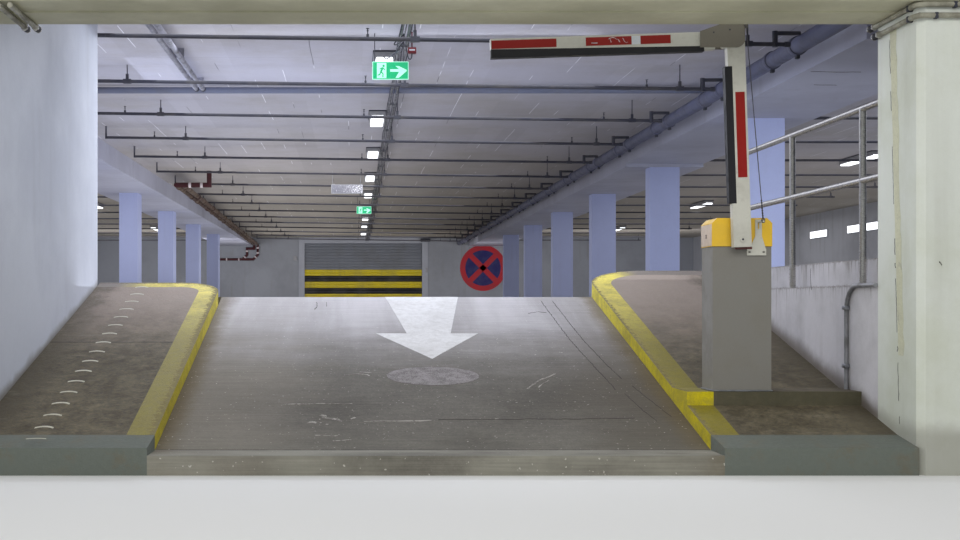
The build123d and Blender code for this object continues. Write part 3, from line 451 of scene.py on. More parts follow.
class BoardMarks(EffectGroup):
    """The prints of long shuttering boards in a cast surface that faces down, with broken fins at their joints."""

    name = "Board Marks"
    inputs = {"Vector": None, "Color": WHITE, "Joint": WHITE, "Fin": WHITE, "Board Width": 0.31, "Board Length": 0.74}
    outputs = ("Color", "Height")

    @staticmethod
    def line(graph: Graph, value: object, pitch: object, width: float) -> Value:
        """Draw thin lines at every pitch.

        Args:
            graph: the group's nodes.
            value: the place across the lines.
            pitch: how far the lines lie apart.
            width: half a line's width.

        Returns:
            The output that is 1 on a line.
        """
        saw = graph.math("FRACT", graph.math("DIVIDE", value, pitch))
        distance = graph.math("ABSOLUTE", saw - 0.5) * pitch
        return graph.between(distance, width, width * 0.3)

    def build(self, graph: Graph, given: Values) -> Values:
        """Tone each board, break the joints, and make some fins bright and some joints dark.

        Args:
            graph: the nodes to add to.
            given: the outputs of the group's inputs, by name.

        Returns:
            The output for each of the effect's names.
        """
        vector = given["Vector"]
        across, along = graph.part(vector, Axis.X), graph.part(vector, Axis.Y)
        sway = (graph.noise(vector, 0.6, 2.0) - 0.5) * 0.03
        long_lines = self.line(graph, across + sway, given["Board Width"], 0.006)
        long_parts = graph.between(graph.noise(graph.stretched(vector, (3.3, 0.95, 1.0)), 1.0, 1.0), 0.56, 0.6)
        joints = long_lines * long_parts
        cross_lines = self.line(graph, along + sway, given["Board Length"], 0.005)
        cross_parts = graph.between(graph.noise(graph.stretched(vector, (0.45, 2.7, 1.0)), 1.0, 1.0), 0.5, 0.58)
        seams = cross_lines * cross_parts * 0.5
        bright = graph.between(graph.noise(graph.stretched(vector, (0.7, 0.9, 1.0)), 1.0, 1.0), 0.42, 0.5)
        row = graph.math("FLOOR", graph.math("DIVIDE", across, given["Board Width"]))
        length = graph.math("FLOOR", graph.math("DIVIDE", along, given["Board Length"] * 3.0))
        board = Value(graph, graph.node("CombineXYZ", row, length).outputs[0])
        chance = Value(graph, graph.node("TexWhiteNoise", board, noise_dimensions="2D").outputs["Value"])
        toned = graph.toned(given["Color"], graph.between(chance, 0.0, 1.0, 0.955, 1.035))
        dark = graph.math("MAXIMUM", joints * (1.0 - bright), seams)
        jointed = graph.mix(dark * 0.75, toned, given["Joint"])
        fins = joints * bright
        finned = graph.mix(fins * 0.9, jointed, given["Fin"])
        height = fins + (1.0 - dark)
        return {"Color": finned, "Height": height}


class Scuffs(EffectGroup):
    """Fine scratches and rubbed patches on a painted sheet."""

    name = "Scuffs"
    inputs = {"Vector": None, "Color": WHITE, "Scuff": WHITE, "Amount": 0.3}
    outputs = ("Color", "Mask")

    def build(self, graph: Graph, given: Values) -> Values:
        """Cross two stretched noises and keep their thinnest lines.

        Args:
            graph: the nodes to add to.
            given: the outputs of the group's inputs, by name.

        Returns:
            The output for each of the effect's names.
        """
        lying = graph.noise(graph.stretched(given["Vector"], (3.0, 3.0, 60.0)), 2.0, 6.0, 0.7)
        rubbed = graph.noise(given["Vector"], 24.0, 5.0, 0.7)
        lines = graph.between(lying, 0.62, 0.72)
        patches = graph.between(rubbed, 0.56, 0.74)
        mask = graph.math("MULTIPLY", graph.math("MAXIMUM", lines, patches), given["Amount"], clamp=True)
        return {"Color": graph.mix(mask, given["Color"], given["Scuff"]), "Mask": mask}


class Effect(Enum):
    """The shared effects."""

    CLOUDING = Clouding()
    RUNS = Runs()
    FOOT_GRIME = FootGrime()
    WORN_PAINT = WornPaint()
    BOARD_MARKS = BoardMarks()
    SCUFFS = Scuffs()


@dataclass(frozen=True)
class Finish(ABC):
    """One finish: a name and the nodes that give its looks."""

    name: str

    def material(self) -> bpy.types.Material:
        """Give the material, made at its first use.

        Returns:
            The material.
        """
        ready = bpy.data.materials.get(self.name)
        if ready is not None:
            return ready
        made = bpy.data.materials.new(self.name)
        made.use_nodes = True
        graph = Graph(made.node_tree)
        self.dress(graph, graph.place())
        return made

    @abstractmethod
    def dress(self, graph: Graph, place: Value) -> None:
        """Feed the shader.

        Args:
            graph: the material's nodes.
            place: the output that gives the place in the model.
        """


@dataclass(frozen=True)
class ConcretePaint(Finish):
    """Rolled paint on concrete or render: stains, trowel marks, runs of water and dirt at the foot."""

    paint: Colour
    stain: Colour
    grime: Colour = (112, 106, 94)
    stains: float = 0.5
    stain_scale: float = 0.8
    speckle: float = 0.05
    runs: float = 0.25
    foot: float = 0.5
    foot_reach: float = 0.22
    roughness: float = 0.62
    relief: float = 0.0022
    ledges: tuple[float, ...] = ()

    def dress(self, graph: Graph, place: Value) -> None:
        """Cloud the paint, let water run down it and splash its foot.

        Args:
            graph: the nodes to add to.
            place: the output that gives the place in the model.
        """
        cloud = graph.cloud(
            place, self.paint, self.stain, stains=self.stains, broad=self.stain_scale, speckle=self.speckle, fine=120.0,
        )
        wet = graph.use(Effect.RUNS, place, Color=cloud["Color"], Run=self.grime, Amount=self.runs)
        foot = graph.use(
            Effect.FOOT_GRIME, place, Color=wet["Color"], Grime=self.grime, Amount=self.foot, Reach=self.foot_reach,
        )
        colour = foot["Color"]
        for ledge in self.ledges:
            below = ledge - graph.part(place, Axis.Z)
            specks = graph.noise(place, 30.0, 6.0, 0.75) * 0.045
            line = graph.between(graph.math("ABSOLUTE", below) + specks, 0.036, 0.02, 0.0, 0.85)
            drip = graph.noise(graph.stretched(place, (1.0, 1.0, 0.05)), 42.0, 3.0, 0.6)
            reach = graph.between(drip, 0.5, 0.75) * 0.3
            inside = graph.between(below, reach, 0.0) * graph.math("GREATER_THAN", below, 0.0)
            share = graph.math("MAXIMUM", line * 0.75, inside * 0.5)
            colour = graph.mix(share, colour, self.grime)
        worn = graph.between(cloud["Mask"], 0.0, 1.0, self.roughness - 0.06, self.roughness + 0.12)
        trowel = graph.noise(graph.stretched(place, (1.0, 1.0, 1.6)), 5.5, 5.0, 0.5)
        height = trowel * 0.8 + cloud["Height"] * 0.2
        graph.skin(colour, worn, height, 0.6, self.relief)


@dataclass(frozen=True)
class BoardCeiling(Finish):
    """Painted concrete cast against boards, darker and browner towards the rear."""

    paint: Colour
    far_tone: Colour
    joint: Colour
    fin: Colour
    far_start: float
    far_end: float

    def dress(self, graph: Graph, place: Value) -> None:
        """Lay the boards, darken and brown them towards the rear of the hall and cloud them.

        Args:
            graph: the nodes to add to.
            place: the output that gives the place in the model.
        """
        along = graph.part(place, Axis.Y)
        ragged = along + graph.noise(place, 0.25, 3.0) * 6.0
        rearward = graph.between(ragged, self.far_start, self.far_end)
        cloud = graph.cloud(
            place, graph.mix(rearward, self.paint, self.far_tone), self.far_tone, stains=0.5, broad=0.55, speckle=0.08, fine=60.0,
        )
        boards = graph.use(Effect.BOARD_MARKS, place, Color=cloud["Color"], Joint=self.joint, Fin=self.fin)
        grain = graph.noise(graph.stretched(place, (1.0, 14.0, 1.0)), 9.0, 4.0)
        height = grain * 0.35 + boards["Height"] * 0.65
        graph.skin(boards["Color"], graph.between(cloud["Mask"], 0.0, 1.0, 0.6, 0.8), height, 0.7, 0.004)


@dataclass(frozen=True)
class WalkSurface(Finish):
    """Trodden concrete: mottled, dark by the walls, with painted shade on its steps, reddish and painted lighter at the
    crest as light from the hall, grey-blue before the ramp.
    """

    base: Colour = (110, 102, 84)
    dark: Colour = (74, 67, 53)
    reddish_and_lit: Colour = (156, 142, 131)
    step: Colour = (80, 78, 62)
    painted: Colour = (104, 111, 105)
    walls: Flat = (-0.58, 2.44)

    def dress(self, graph: Graph, place: Value) -> None:
        """Mottle the concrete, tone it by place, and paint shade on the faces that don't look up.

        Args:
            graph: the nodes to add to.
            place: the output that gives the place in the model.
        """
        mottle = graph.noise(graph.stretched(place, (1.0, 0.7, 1.0)), 6.0, 9.0, 0.72)
        trodden = graph.mix(graph.between(mottle, 0.36, 0.64, 0.2, 0.8), self.dark, self.base)
        cloud = graph.cloud(place, trodden, self.dark, stains=0.35, broad=1.6, speckle=0.85, fine=44.0)
        along, sway = graph.part(place, Axis.Y), mottle - 0.5
        # A reddish tone at the crest, also painted lighter there as light from the hall.
        crest = graph.between(along + sway, CREST - 2.2, CREST - 0.3, 0.0, 0.8)
        colour = graph.mix(crest, cloud["Color"], self.reddish_and_lit)
        middle, reach = self.walls
        aside = graph.math("ABSOLUTE", graph.part(place, Axis.X) - middle)
        edge = aside + sway * 0.6
        colour = graph.mix(graph.between(edge, reach - 0.24, reach, 0.0, 0.75), colour, self.dark)
        # Painted shade: faces that don't look up, such as the steps' risers, are darkened.
        facing = graph.facing()
        colour = graph.mix(graph.between(facing, 0.7, 0.3, 0.0, 0.7), colour, self.step)
        lines = graph.noise(graph.stretched(place, (2.0, 9.0, 9.0)), 1.4, 7.0, 0.7)
        scrape = graph.between(lines, 0.56, 0.72, 0.0, 0.35)
        colour = graph.mix(scrape, colour, (142, 136, 120))
        before = graph.between(along, RAMP_FOOT - 0.012, RAMP_FOOT + 0.012, 0.85, 0.0)
        painted = graph.mix(graph.between(mottle, 0.5, 0.7, 0.0, 0.55), self.painted, self.base)
        colour = graph.mix(before, colour, painted)
        rough = graph.between(cloud["Height"], 0.3, 0.7, 0.7, 0.92)
        graph.skin(colour, rough, cloud["Height"] + mottle, 0.8, 0.005)


@dataclass(frozen=True)
class HallFloor(Finish):
    """Worn grey floor of the hall, with tyre dust."""

    base: Colour = (134, 131, 128)
    dark: Colour = (98, 95, 92)

    def dress(self, graph: Graph, place: Value) -> None:
        """Stain and speckle the concrete."""
        cloud = graph.cloud(place, self.base, self.dark, stains=0.6, broad=1.4, speckle=0.4, fine=90.0)
        graph.skin(cloud["Color"], graph.between(cloud["Height"], 0.3, 0.7, 0.6, 0.85), cloud["Height"], 0.8, 0.004)


@dataclass(frozen=True)
class RoadPaint(Finish):
    """Brushed road paint that wheels and feet have worn away."""

    paint: Colour
    under: Colour
    wear: float = 0.4
    wear_scale: float = 18.0
    roughness: float = 0.6

    def dress(self, graph: Graph, place: Value) -> None:
        """Wear the paint and keep the bare patches rough.

        Args:
            graph: the nodes to add to.
            place: the output that gives the place in the model.
        """
        worn = graph.use(
            Effect.WORN_PAINT, place, Paint=self.paint, Under=self.under, Wear=self.wear, Wear_Scale=self.wear_scale,
        )
        cloud = graph.cloud(place, worn["Color"], self.under, stains=0.3, broad=4.0, speckle=0.22, fine=160.0)
        layers = cloud["Height"] - worn["Mask"] * 0.6
        graph.skin(cloud["Color"], graph.between(worn["Mask"], 0.0, 1.0, self.roughness, 0.9), layers, 0.7, 0.002)


@dataclass(frozen=True)
class KerbPaint(Finish):
    """Yellow kerb paint: trodden dull on top, fresh on the sides, rubbed bare along the edge beside the lane, and
    painted lighter towards the crest as light from the hall.
    """

    corner: Flat
    radius: float
    side: float
    top: Colour = (131, 121, 36)
    lit_crest_top: Colour = (218, 202, 84)
    fresh: Colour = (200, 184, 4)
    lit_crest_side: Colour = (222, 206, 58)
    bare: Colour = (126, 116, 82)
    rim: Colour = (118, 110, 102)
    grime: Colour = (118, 107, 52)
    rub: float = 0.05
    painted_end: Flat = (-0.15, -0.55)

    def dress(self, graph: Graph, place: Value) -> None:
        """Measure the distance from the lane's edge, also round the corner, and rub the paint off there.

        Args:
            graph: the nodes to add to.
            place: the output that gives the place in the model.
        """
        facing = graph.facing()
        lying = graph.between(facing, 0.5, 0.8)
        across = (graph.part(place, Axis.X) - self.corner[0]) * self.side
        beyond = graph.part(place, Axis.Y) - self.corner[1]
        legs = [graph.math("POWER", graph.math("MAXIMUM", leg, 0.0), 2.0) for leg in (across, beyond)]
        inside = self.radius - graph.math("SQRT", legs[0] + legs[1])
        grain = graph.noise(place, 34.0, 6.0, 0.7)
        ragged = inside + (grain - 0.5) * 0.16
        rubbed = graph.between(ragged, self.rub, self.rub * 0.3) * lying
        # Painted light: the yellow turns lighter towards the crest, where the hall's lamps light the kerbs.
        crest = graph.between(graph.part(place, Axis.Y), CREST - 1.9, CREST - 0.1)
        upper, lower = graph.mix(crest, self.top, self.lit_crest_top), graph.mix(crest, self.fresh, self.lit_crest_side)
        worn = graph.use(
            Effect.WORN_PAINT, place, Paint=graph.mix(lying, lower, upper), Under=self.bare,
            Wear=graph.between(lying, 0.0, 1.0, 0.14, 0.27), Wear_Scale=48.0,
        )
        painted = graph.mix(rubbed, worn["Color"], self.bare)
        cloud = graph.cloud(place, painted, self.grime, stains=0.45, broad=5.0, speckle=0.34, fine=110.0)
        behind = graph.between(across, *self.painted_end) * graph.between(beyond, -0.1, 0.05)
        colour = graph.mix(behind, cloud["Color"], self.rim)
        bare = graph.math("MAXIMUM", worn["Mask"], rubbed)
        rough = graph.between(bare, 0.0, 1.0, 0.55, 0.9)
        graph.skin(colour, rough, cloud["Height"] - bare * 0.6, 0.7, 0.003)


@dataclass(frozen=True)
class RampSurface(Finish):
    """Broomed concrete ramp: dark where wheels run, dusty at its foot and on its left, pale at the crest, partly from
    polish and partly a painted sheen of the hall's light.
    """

    base: Colour = (99, 95, 88)
    dark: Colour = (77, 73, 66)
    dust: Colour = (142, 140, 129)
    polish_and_sheen: Colour = (176, 172, 174)
    side_dust: Colour = (146, 139, 127)
    brown: Colour = (84, 77, 66)
    gutter_dirt: Colour = (92, 80, 58)

    def dress(self, graph: Graph, place: Value) -> None:
        """Lay dust, and polish with a painted sheen, over the broomed surface, each with a ragged edge.

        Args:
            graph: the nodes to add to.
            place: the output that gives the place in the model.
        """
        cloud = graph.cloud(place, self.base, self.dark, stains=0.75, broad=1.5, speckle=0.42, fine=75.0)
        drift = graph.noise(graph.stretched(place, (0.7, 1.5, 1.0)), 1.5, 8.0, 0.62)
        sway = drift - 0.5
        along = graph.part(place, Axis.Y) + sway * 1.5
        across = graph.part(place, Axis.X) + sway * 0.9
        left = graph.between(across, -1.0, -1.75, 0.0, 0.4)
        colour = graph.mix(left, cloud["Color"], self.side_dust)
        right = graph.between(across, 0.1, 0.7, 0.0, 0.75)
        colour = graph.mix(right, colour, self.brown)
        # The crest is painted paler where tyres run: partly polish, partly a painted sheen of the hall's light.
        crest = graph.between(along, CREST - 2.3, CREST - 0.3, 0.0, 0.85)
        tracks = graph.noise(graph.stretched(place, (3.4, 0.22, 1.0)), 1.0, 4.0, 0.6)
        tyres = graph.between(tracks, 0.35, 0.65, 0.62, 1.0)
        colour = graph.mix(crest * tyres, colour, self.polish_and_sheen)
        aside = graph.math("ABSOLUTE", graph.part(place, Axis.X) + 0.59)
        gutter = aside + graph.noise(place, 7.0, 6.0, 0.7) * 0.14
        colour = graph.mix(graph.between(gutter, 1.37, 1.52, 0.0, 0.85), colour, self.gutter_dirt)
        foot = graph.between(graph.part(place, Axis.Y), RAMP_FOOT + 0.02, RAMP_FOOT - 0.01)
        haze = graph.between(along, RAMP_FOOT + 0.5, RAMP_FOOT + 0.05) * 0.22
        dusty = graph.math("MAXIMUM", foot, haze) * graph.between(drift, 0.35, 0.62, 0.25, 0.95)
        colour = graph.mix(dusty, colour, self.dust)
        broom = graph.noise(graph.stretched(place, (2.0, 95.0, 95.0)), 1.0, 4.0, 0.6)
        toned = graph.toned(colour, graph.between(broom, 0.3, 0.7, 0.9, 1.09))
        flecks = graph.between(graph.noise(graph.stretched(place, (1.0, 1.4, 1.0)), 52.0, 1.0), 0.735, 0.76, 0.0, 0.75)
        colour = graph.mix(flecks, toned, (196, 192, 184))
        height = broom * 0.5 + cloud["Height"] * 0.5
        graph.skin(colour, graph.between(crest, 0.0, 0.85, 0.85, 0.6), height, 0.7, 0.004)


@dataclass(frozen=True)
class ConduitPaint(Finish):
    """Conduits: galvanised, and brushed over with the wall's paint at the portal and the ceiling's on the left."""

    metal: Colour = (140, 141, 146)
    cream: Colour = (168, 166, 146)
    white: Colour = (178, 178, 192)
    grime: Colour = (70, 66, 60)

    def dress(self, graph: Graph, place: Value) -> None:
        """Choose the paint by place and let grime gather on it.

        Args:
            graph: the nodes to add to.
            place: the output that gives the place in the model.
        """
        portal = graph.math("LESS_THAN", graph.part(place, Axis.Y), -18.45)
        high = graph.math("GREATER_THAN", graph.part(place, Axis.Z), 1.6)
        left = graph.math("LESS_THAN", graph.part(place, Axis.X), -2.0)
        colour = graph.mix(left * 0.75, self.metal, self.white)
        colour = graph.mix(portal * high * 0.85, colour, self.cream)
        cloud = graph.cloud(place, colour, self.grime, stains=0.55, broad=9.0, speckle=0.16, fine=180.0)
        graph.shade(Metallic=0.25)
        graph.skin(cloud["Color"], graph.between(cloud["Mask"], 0.0, 1.0, 0.36, 0.62), cloud["Height"], 0.3, 0.0008)


@dataclass(frozen=True)
class GlitterPanel(Finish):
    """A glossy crumpled panel with painted glints over its face and a faint painted glow."""

    tone: Colour = (132, 132, 142)
    painted_glint: Colour = (250, 250, 255)

    def dress(self, graph: Graph, place: Value) -> None:
        """Scatter sharp painted glints, thicker towards the right, and let the panel glow faintly though it is no lamp.

        Args:
            graph: the nodes to add to.
            place: the output that gives the place in the model.
        """
        cells = graph.noise(graph.stretched(place, (1.0, 1.0, 1.3)), 46.0, 5.0, 0.75)
        level = graph.between(graph.part(place, Axis.X), -1.4, -0.9, 0.62, 0.5)
        flecks = graph.between(cells, level, level + 0.03)
        colour = graph.mix(flecks, self.tone, self.painted_glint)
        # Painted glow: the panel shines a little though it is no lamp.
        graph.shade(Emission_Color=colour, Emission_Strength=0.25)
        graph.skin(colour, graph.between(flecks, 0.0, 1.0, 0.3, 0.12), cells, 0.6, 0.003)


@dataclass(frozen=True)
class SheetPaint(Finish):
    """Factory paint on sheet metal or a profile, with scuffs and dust."""

    paint: Colour
    scuff: Colour
    dust: Colour = (120, 114, 102)
    scuffs: float = 0.35
    dust_share: float = 0.25
    roughness: float = 0.38
    metallic: float = 0.0
    orange_peel: float = 0.0006

    def dress(self, graph: Graph, place: Value) -> None:
        """Scuff the paint and let dust settle in clouds.

        Args:
            graph: the nodes to add to.
            place: the output that gives the place in the model.
        """
        rubbed = graph.use(Effect.SCUFFS, place, Color=self.paint, Scuff=self.scuff, Amount=self.scuffs)
        cloud = graph.cloud(
            place, rubbed["Color"], self.dust, stains=self.dust_share, broad=5.0, speckle=0.05, fine=300.0,
        )
        graph.shade(Metallic=self.metallic)
        rough = graph.between(cloud["Mask"], 0.0, 1.0, self.roughness, self.roughness + 0.2)
        graph.skin(cloud["Color"], rough, graph.noise(place, 420.0, 2.0), 0.4, self.orange_peel)


@dataclass(frozen=True)
class HungPipe(SheetPaint):
    """Painted pipe whose hanger rods were painted over with the ceiling."""

    rod: Colour = (96, 95, 104)
    rod_foot: float = 3.056

    def dress(self, graph: Graph, place: Value) -> None:
        """Paint the pipe, then what stands above it.

        Args:
            graph: the nodes to add to.
            place: the output that gives the place in the model.
        """
        super().dress(graph, place)
        base = graph.tree.nodes["Principled BSDF"].inputs["Base Color"]
        painted = Value(graph, base.links[0].from_socket)
        high = graph.between(graph.part(place, Axis.Z), self.rod_foot - 0.004, self.rod_foot + 0.004, 0.0, 0.8)
        graph.shade(Base_Color=graph.mix(high, painted, self.rod))


@dataclass(frozen=True)
class BandedSlats(Finish):
    """Painted shutter slats, grey above and with yellow and black bands towards the foot."""

    paint: Colour
    yellow: Colour
    black: Colour
    band_foot: float
    band_height: float
    bands: int

    def dress(self, graph: Graph, place: Value) -> None:
        """Paint the bands by their height, then dust the slats.

        Args:
            graph: the nodes to add to.
            place: the output that gives the place in the model.
        """
        height = graph.part(place, Axis.Z)
        steps = graph.math("DIVIDE", height - self.band_foot, self.band_height)
        odd = graph.math("MODULO", graph.math("FLOOR", steps), 2.0)
        banded = graph.mix(graph.math("ABSOLUTE", odd), self.yellow, self.black)
        above = graph.between(steps, self.bands - 0.03, self.bands + 0.03)
        colour = graph.mix(above, banded, self.paint)
        dusty = graph.cloud(place, colour, (96, 94, 90), stains=0.35, broad=1.6, speckle=0.06, fine=120.0)
        wet = graph.use(Effect.RUNS, place, Color=dusty["Color"], Run=(70, 68, 64), Amount=0.3, Across=9.0)
        graph.skin(wet["Color"], graph.between(dusty["Mask"], 0.0, 1.0, 0.42, 0.62), dusty["Height"], 0.3, 0.001)


@dataclass(frozen=True)
class BareMetal(Finish):
    """Brushed, galvanised or dull metal without paint."""

    metal: Colour
    dull: Colour
    brushing: Point = (40.0, 40.0, 400.0)
    roughness: float = 0.32
    spangle: float = 0.25

    def dress(self, graph: Graph, place: Value) -> None:
        """Draw the brush lines into the roughness and dull the metal in patches.

        Args:
            graph: the nodes to add to.
            place: the output that gives the place in the model.
        """
        lines = graph.noise(graph.stretched(place, self.brushing), 1.0, 3.0, 0.6)
        patches = graph.between(graph.noise(place, 18.0, 4.0), 0.35, 0.7)
        share = patches * self.spangle
        colour = graph.mix(share, self.metal, self.dull)
        graph.shade(Metallic=1.0)
        graph.skin(colour, graph.between(lines, 0.3, 0.7, self.roughness, self.roughness + 0.16), lines, 0.25, 0.0004)


@dataclass(frozen=True)
class Moulded(Finish):
    """Rubber or plastic with a fine skin and a bloom of dust."""

    tone: Colour
    bloom: Colour
    roughness: float = 0.5
    dust: float = 0.3

    def dress(self, graph: Graph, place: Value) -> None:
        """Bloom the tone and grain its skin.

        Args:
            graph: the nodes to add to.
            place: the output that gives the place in the model.
        """
        cloud = graph.cloud(place, self.tone, self.bloom, stains=self.dust, broad=12.0, speckle=0.12, fine=260.0)
        rough = graph.between(cloud["Mask"], 0.0, 1.0, self.roughness, self.roughness + 0.18)
        graph.skin(cloud["Color"], rough, cloud["Height"], 0.35, 0.0006)


@dataclass(frozen=True)
class WrappedPipe(Finish):
    """Red-brown pipe: dark at its ends, and under patchy beige wrapping along its slanted runs."""

    dark: Colour = (70, 26, 34)
    wrapping: Colour = (104, 88, 74)
    under: Colour = (62, 40, 34)

    def dress(self, graph: Graph, place: Value) -> None:
        """Wrap the runs between the ends and let the wrapping flake.

        Args:
            graph: the nodes to add to.
            place: the output that gives the place in the model.
        """
        along = graph.part(place, Axis.Y)
        near, far = graph.math("GREATER_THAN", along, -3.36), graph.math("LESS_THAN", along, 18.78)
        worn = graph.use(Effect.WORN_PAINT, place, Paint=self.wrapping, Under=self.under, Wear=0.5, Wear_Scale=9.0)
        colour = graph.mix(near * far, self.dark, worn["Color"])
        cloud = graph.cloud(place, colour, self.under, stains=0.5, broad=6.0, speckle=0.2, fine=110.0)
        rough = graph.between(cloud["Mask"], 0.0, 1.0, 0.4, 0.7)
        graph.skin(cloud["Color"], rough, cloud["Height"] - worn["Mask"], 0.6, 0.003)


@dataclass(frozen=True)
class Glow(Finish):
    """A lit face: its colour shines, a little uneven."""

    tone: Colour
    strength: float = 1.0
    unevenness: float = 0.12

    def dress(self, graph: Graph, place: Value) -> None:
        """Shine the tone through a faint cloud.

        Args:
            graph: the nodes to add to.
            place: the output that gives the place in the model.
        """
        cloud = graph.noise(place, 7.0, 2.0)
        share = graph.between(cloud, 0.35, 0.7, 0.0, self.unevenness)
        colour = graph.mix(share, self.tone, (0.0, 0.0, 0.0))
        rough = graph.between(cloud, 0.3, 0.7, 0.25, 0.4)
        graph.shade(Base_Color=colour, Emission_Color=colour, Emission_Strength=self.strength, Roughness=rough)


class Paint(Enum):
    """The finishes of this car park."""

    LEFT_WALL = ConcretePaint(
        "cool_white_wall", (193, 197, 207), (170, 174, 186), stain_scale=0.9,
       runs=0.12, foot=0.85, foot_reach=0.075, relief=0.004,
    )
    LOW_WALL = ConcretePaint(
        "stained_low_wall", (192, 190, 194), (160, 158, 160), grime=(88, 78, 66), stains=0.6, stain_scale=2.2,
        speckle=0.08, runs=0.16, foot=0.85, foot_reach=0.12, relief=0.003, ledges=(0.976, 1.134),
    )
    RIGHT_WALL = ConcretePaint(
        "greenish_white_wall", (206, 210, 203), (184, 188, 168), stains=0.6, stain_scale=1.2,
        speckle=0.04, runs=0.12, foot_reach=0.1, relief=0.003,
    )
    PORTAL = ConcretePaint(
        "cream_portal", (200, 198, 174), (158, 156, 132), stains=0.6, stain_scale=1.2,
        speckle=0.04, runs=0.2, foot=0.0, relief=0.002,
    )
    HALL_WALL = ConcretePaint(
        "grey_white_hall_wall", (178, 180, 186), (152, 153, 158), runs=0.3, foot=0.6, foot_reach=0.16,
    )
    COLUMN = ConcretePaint(
        "blue_white_column", (193, 202, 240), (174, 182, 218), stains=0.4, runs=0.12,
        foot=0.45, foot_reach=0.14, relief=0.0015,
    )
    BAND = ConcretePaint("blue_white_band", (186, 188, 204), (166, 166, 180), runs=0.15, foot=0.0, relief=0.002)
    REAR_WALL = ConcretePaint("grey_rear_wall", (142, 145, 152), (120, 122, 127), runs=0.3, foot_reach=0.16)
    SURROUND = ConcretePaint(
        "pale_shutter_surround", (158, 161, 170), (136, 138, 146), stains=0.4, runs=0.2, foot_reach=0.1,
    )
    CEILING = BoardCeiling(
        "board_marked_ceiling", (187, 186, 199), (158, 151, 140), joint=(108, 105, 112),
        fin=(240, 240, 246), far_start=-13.0, far_end=8.0,
    )
    RAMP = RampSurface("ramp_surface")
    WALK = WalkSurface("walk_surface")
    HALL_FLOOR = HallFloor("hall_floor")
    LEFT_KERB = KerbPaint("worn_left_kerb", corner=(-2.355, -15.705), radius=0.3, side=1.0)
    RIGHT_KERB = KerbPaint(
        "worn_right_kerb", corner=(1.375, -15.465), radius=0.5, side=-1.0, rub=0.03, painted_end=(0.3, 0.05),
    )
    SHUTTER = BandedSlats(
        "banded_shutter", (112, 116, 124), yellow=(198, 178, 26), black=(30, 30, 32),
        band_foot=1.01, band_height=0.208, bands=5,
    )
    CABINET = SheetPaint("grey_cabinet", (122, 120, 115), (146, 143, 138), scuffs=0.12, dust_share=0.2, roughness=0.42)
    HOOD = SheetPaint("ochre_hood", (226, 184, 48), (160, 126, 50), scuffs=0.22, dust_share=0.12, roughness=0.3)
    HOOD_SIDE = SheetPaint("faded_hood_side", (204, 186, 170), (176, 150, 120), scuffs=0.2, roughness=0.45)
    ARM = SheetPaint("off_white_arm", (192, 191, 182), (150, 146, 136), scuffs=0.3, dust_share=0.3, roughness=0.36)
    PLATE = SheetPaint("beige_elbow_plate", (114, 109, 99), (96, 90, 82), scuffs=0.3, roughness=0.42)
    RED_STRIP = SheetPaint("red_reflector", (134, 8, 0), (104, 18, 8), scuffs=0.12, dust_share=0.02, roughness=0.5)
    RUBBER = Moulded("black_rubber", (22, 22, 27), (44, 42, 46), roughness=0.48)
    STAINLESS = BareMetal("brushed_stainless", (196, 194, 190), (150, 146, 142), roughness=0.24)
    GALVANISED = BareMetal(
        "galvanised_steel", (168, 170, 176), (120, 122, 128), brushing=(30.0, 30.0, 30.0), roughness=0.42, spangle=0.5,
    )
    BRANCH_PIPE = HungPipe("grey_branch_pipe", (56, 57, 68), (92, 92, 100), scuffs=0.4, roughness=0.34)
    MAIN_PIPE = SheetPaint("blue_grey_main", (84, 88, 112), (116, 118, 134), scuffs=0.3, roughness=0.4)
    CROSS_PIPE = SheetPaint("pale_cross_pipe", (106, 112, 134), (134, 138, 152), scuffs=0.3, roughness=0.42)
    CONDUITS = ConduitPaint("brushed_conduits")
    FIRE_PIPE = WrappedPipe("wrapped_brown_pipe")
    COLLAR = SheetPaint("pale_pipe_collar", (214, 204, 206), (140, 118, 116), roughness=0.45)
    LAMP_COVER = Glow("lit_diffuser", (0.94, 0.97, 1.0), strength=2.0, unevenness=0.05)
    LAMP_BODY = Moulded("grey_lamp_body", (150, 150, 152), (120, 120, 124), roughness=0.45)
    SIGN_BODY = Moulded("white_sign_body", (200, 204, 210), (160, 162, 168), roughness=0.4)
    SIGN_GREEN = Glow("lit_green", (10, 164, 106), strength=0.72)
    SIGN_WHITE = Glow("lit_white", (168, 232, 208), strength=0.72)
    GLITTER = GlitterPanel("crumpled_panel_with_painted_glints")
    DARK_FITTING_AND_SHADOW = Moulded("dark_fitting_and_shadow", (48, 50, 60), (80, 80, 84))
    ALARM_RED = Moulded("alarm_red", (104, 10, 27), (96, 30, 38), roughness=0.35)
    WHITE_LINE = RoadPaint("worn_white_line", (198, 197, 196), (156, 152, 148), wear=0.16, wear_scale=40.0)
    CREAM_STROKE = RoadPaint("cream_stroke", (206, 203, 186), (140, 136, 122), wear=0.2, wear_scale=40.0)
    WIRE = BareMetal("dull_wire", (112, 110, 114), (70, 70, 74), roughness=0.4)
    JOINT_AND_SHADOW = RoadPaint("dark_joint_and_shadow", (66, 63, 58), (104, 100, 92), wear=0.42, wear_scale=16.0, roughness=0.85)
    SIGN_BLUE = RoadPaint("dark_blue_sign_paint", (34, 32, 92), (70, 72, 104), wear=0.2, wear_scale=9.0)
    SIGN_RED = RoadPaint("red_sign_paint", (176, 30, 42), (130, 56, 62), wear=0.2, wear_scale=9.0)
    MAROON_PAD = Moulded("maroon_pad", (92, 48, 48), (120, 84, 80))
    PALE_SCRATCH = RoadPaint("pale_scratch", (168, 164, 156), (116, 112, 106), wear=0.5, wear_scale=40.0, roughness=0.8)
    FILLER = RoadPaint("yellowed_filler", (196, 196, 170), (176, 176, 158), wear=0.3, wear_scale=12.0)
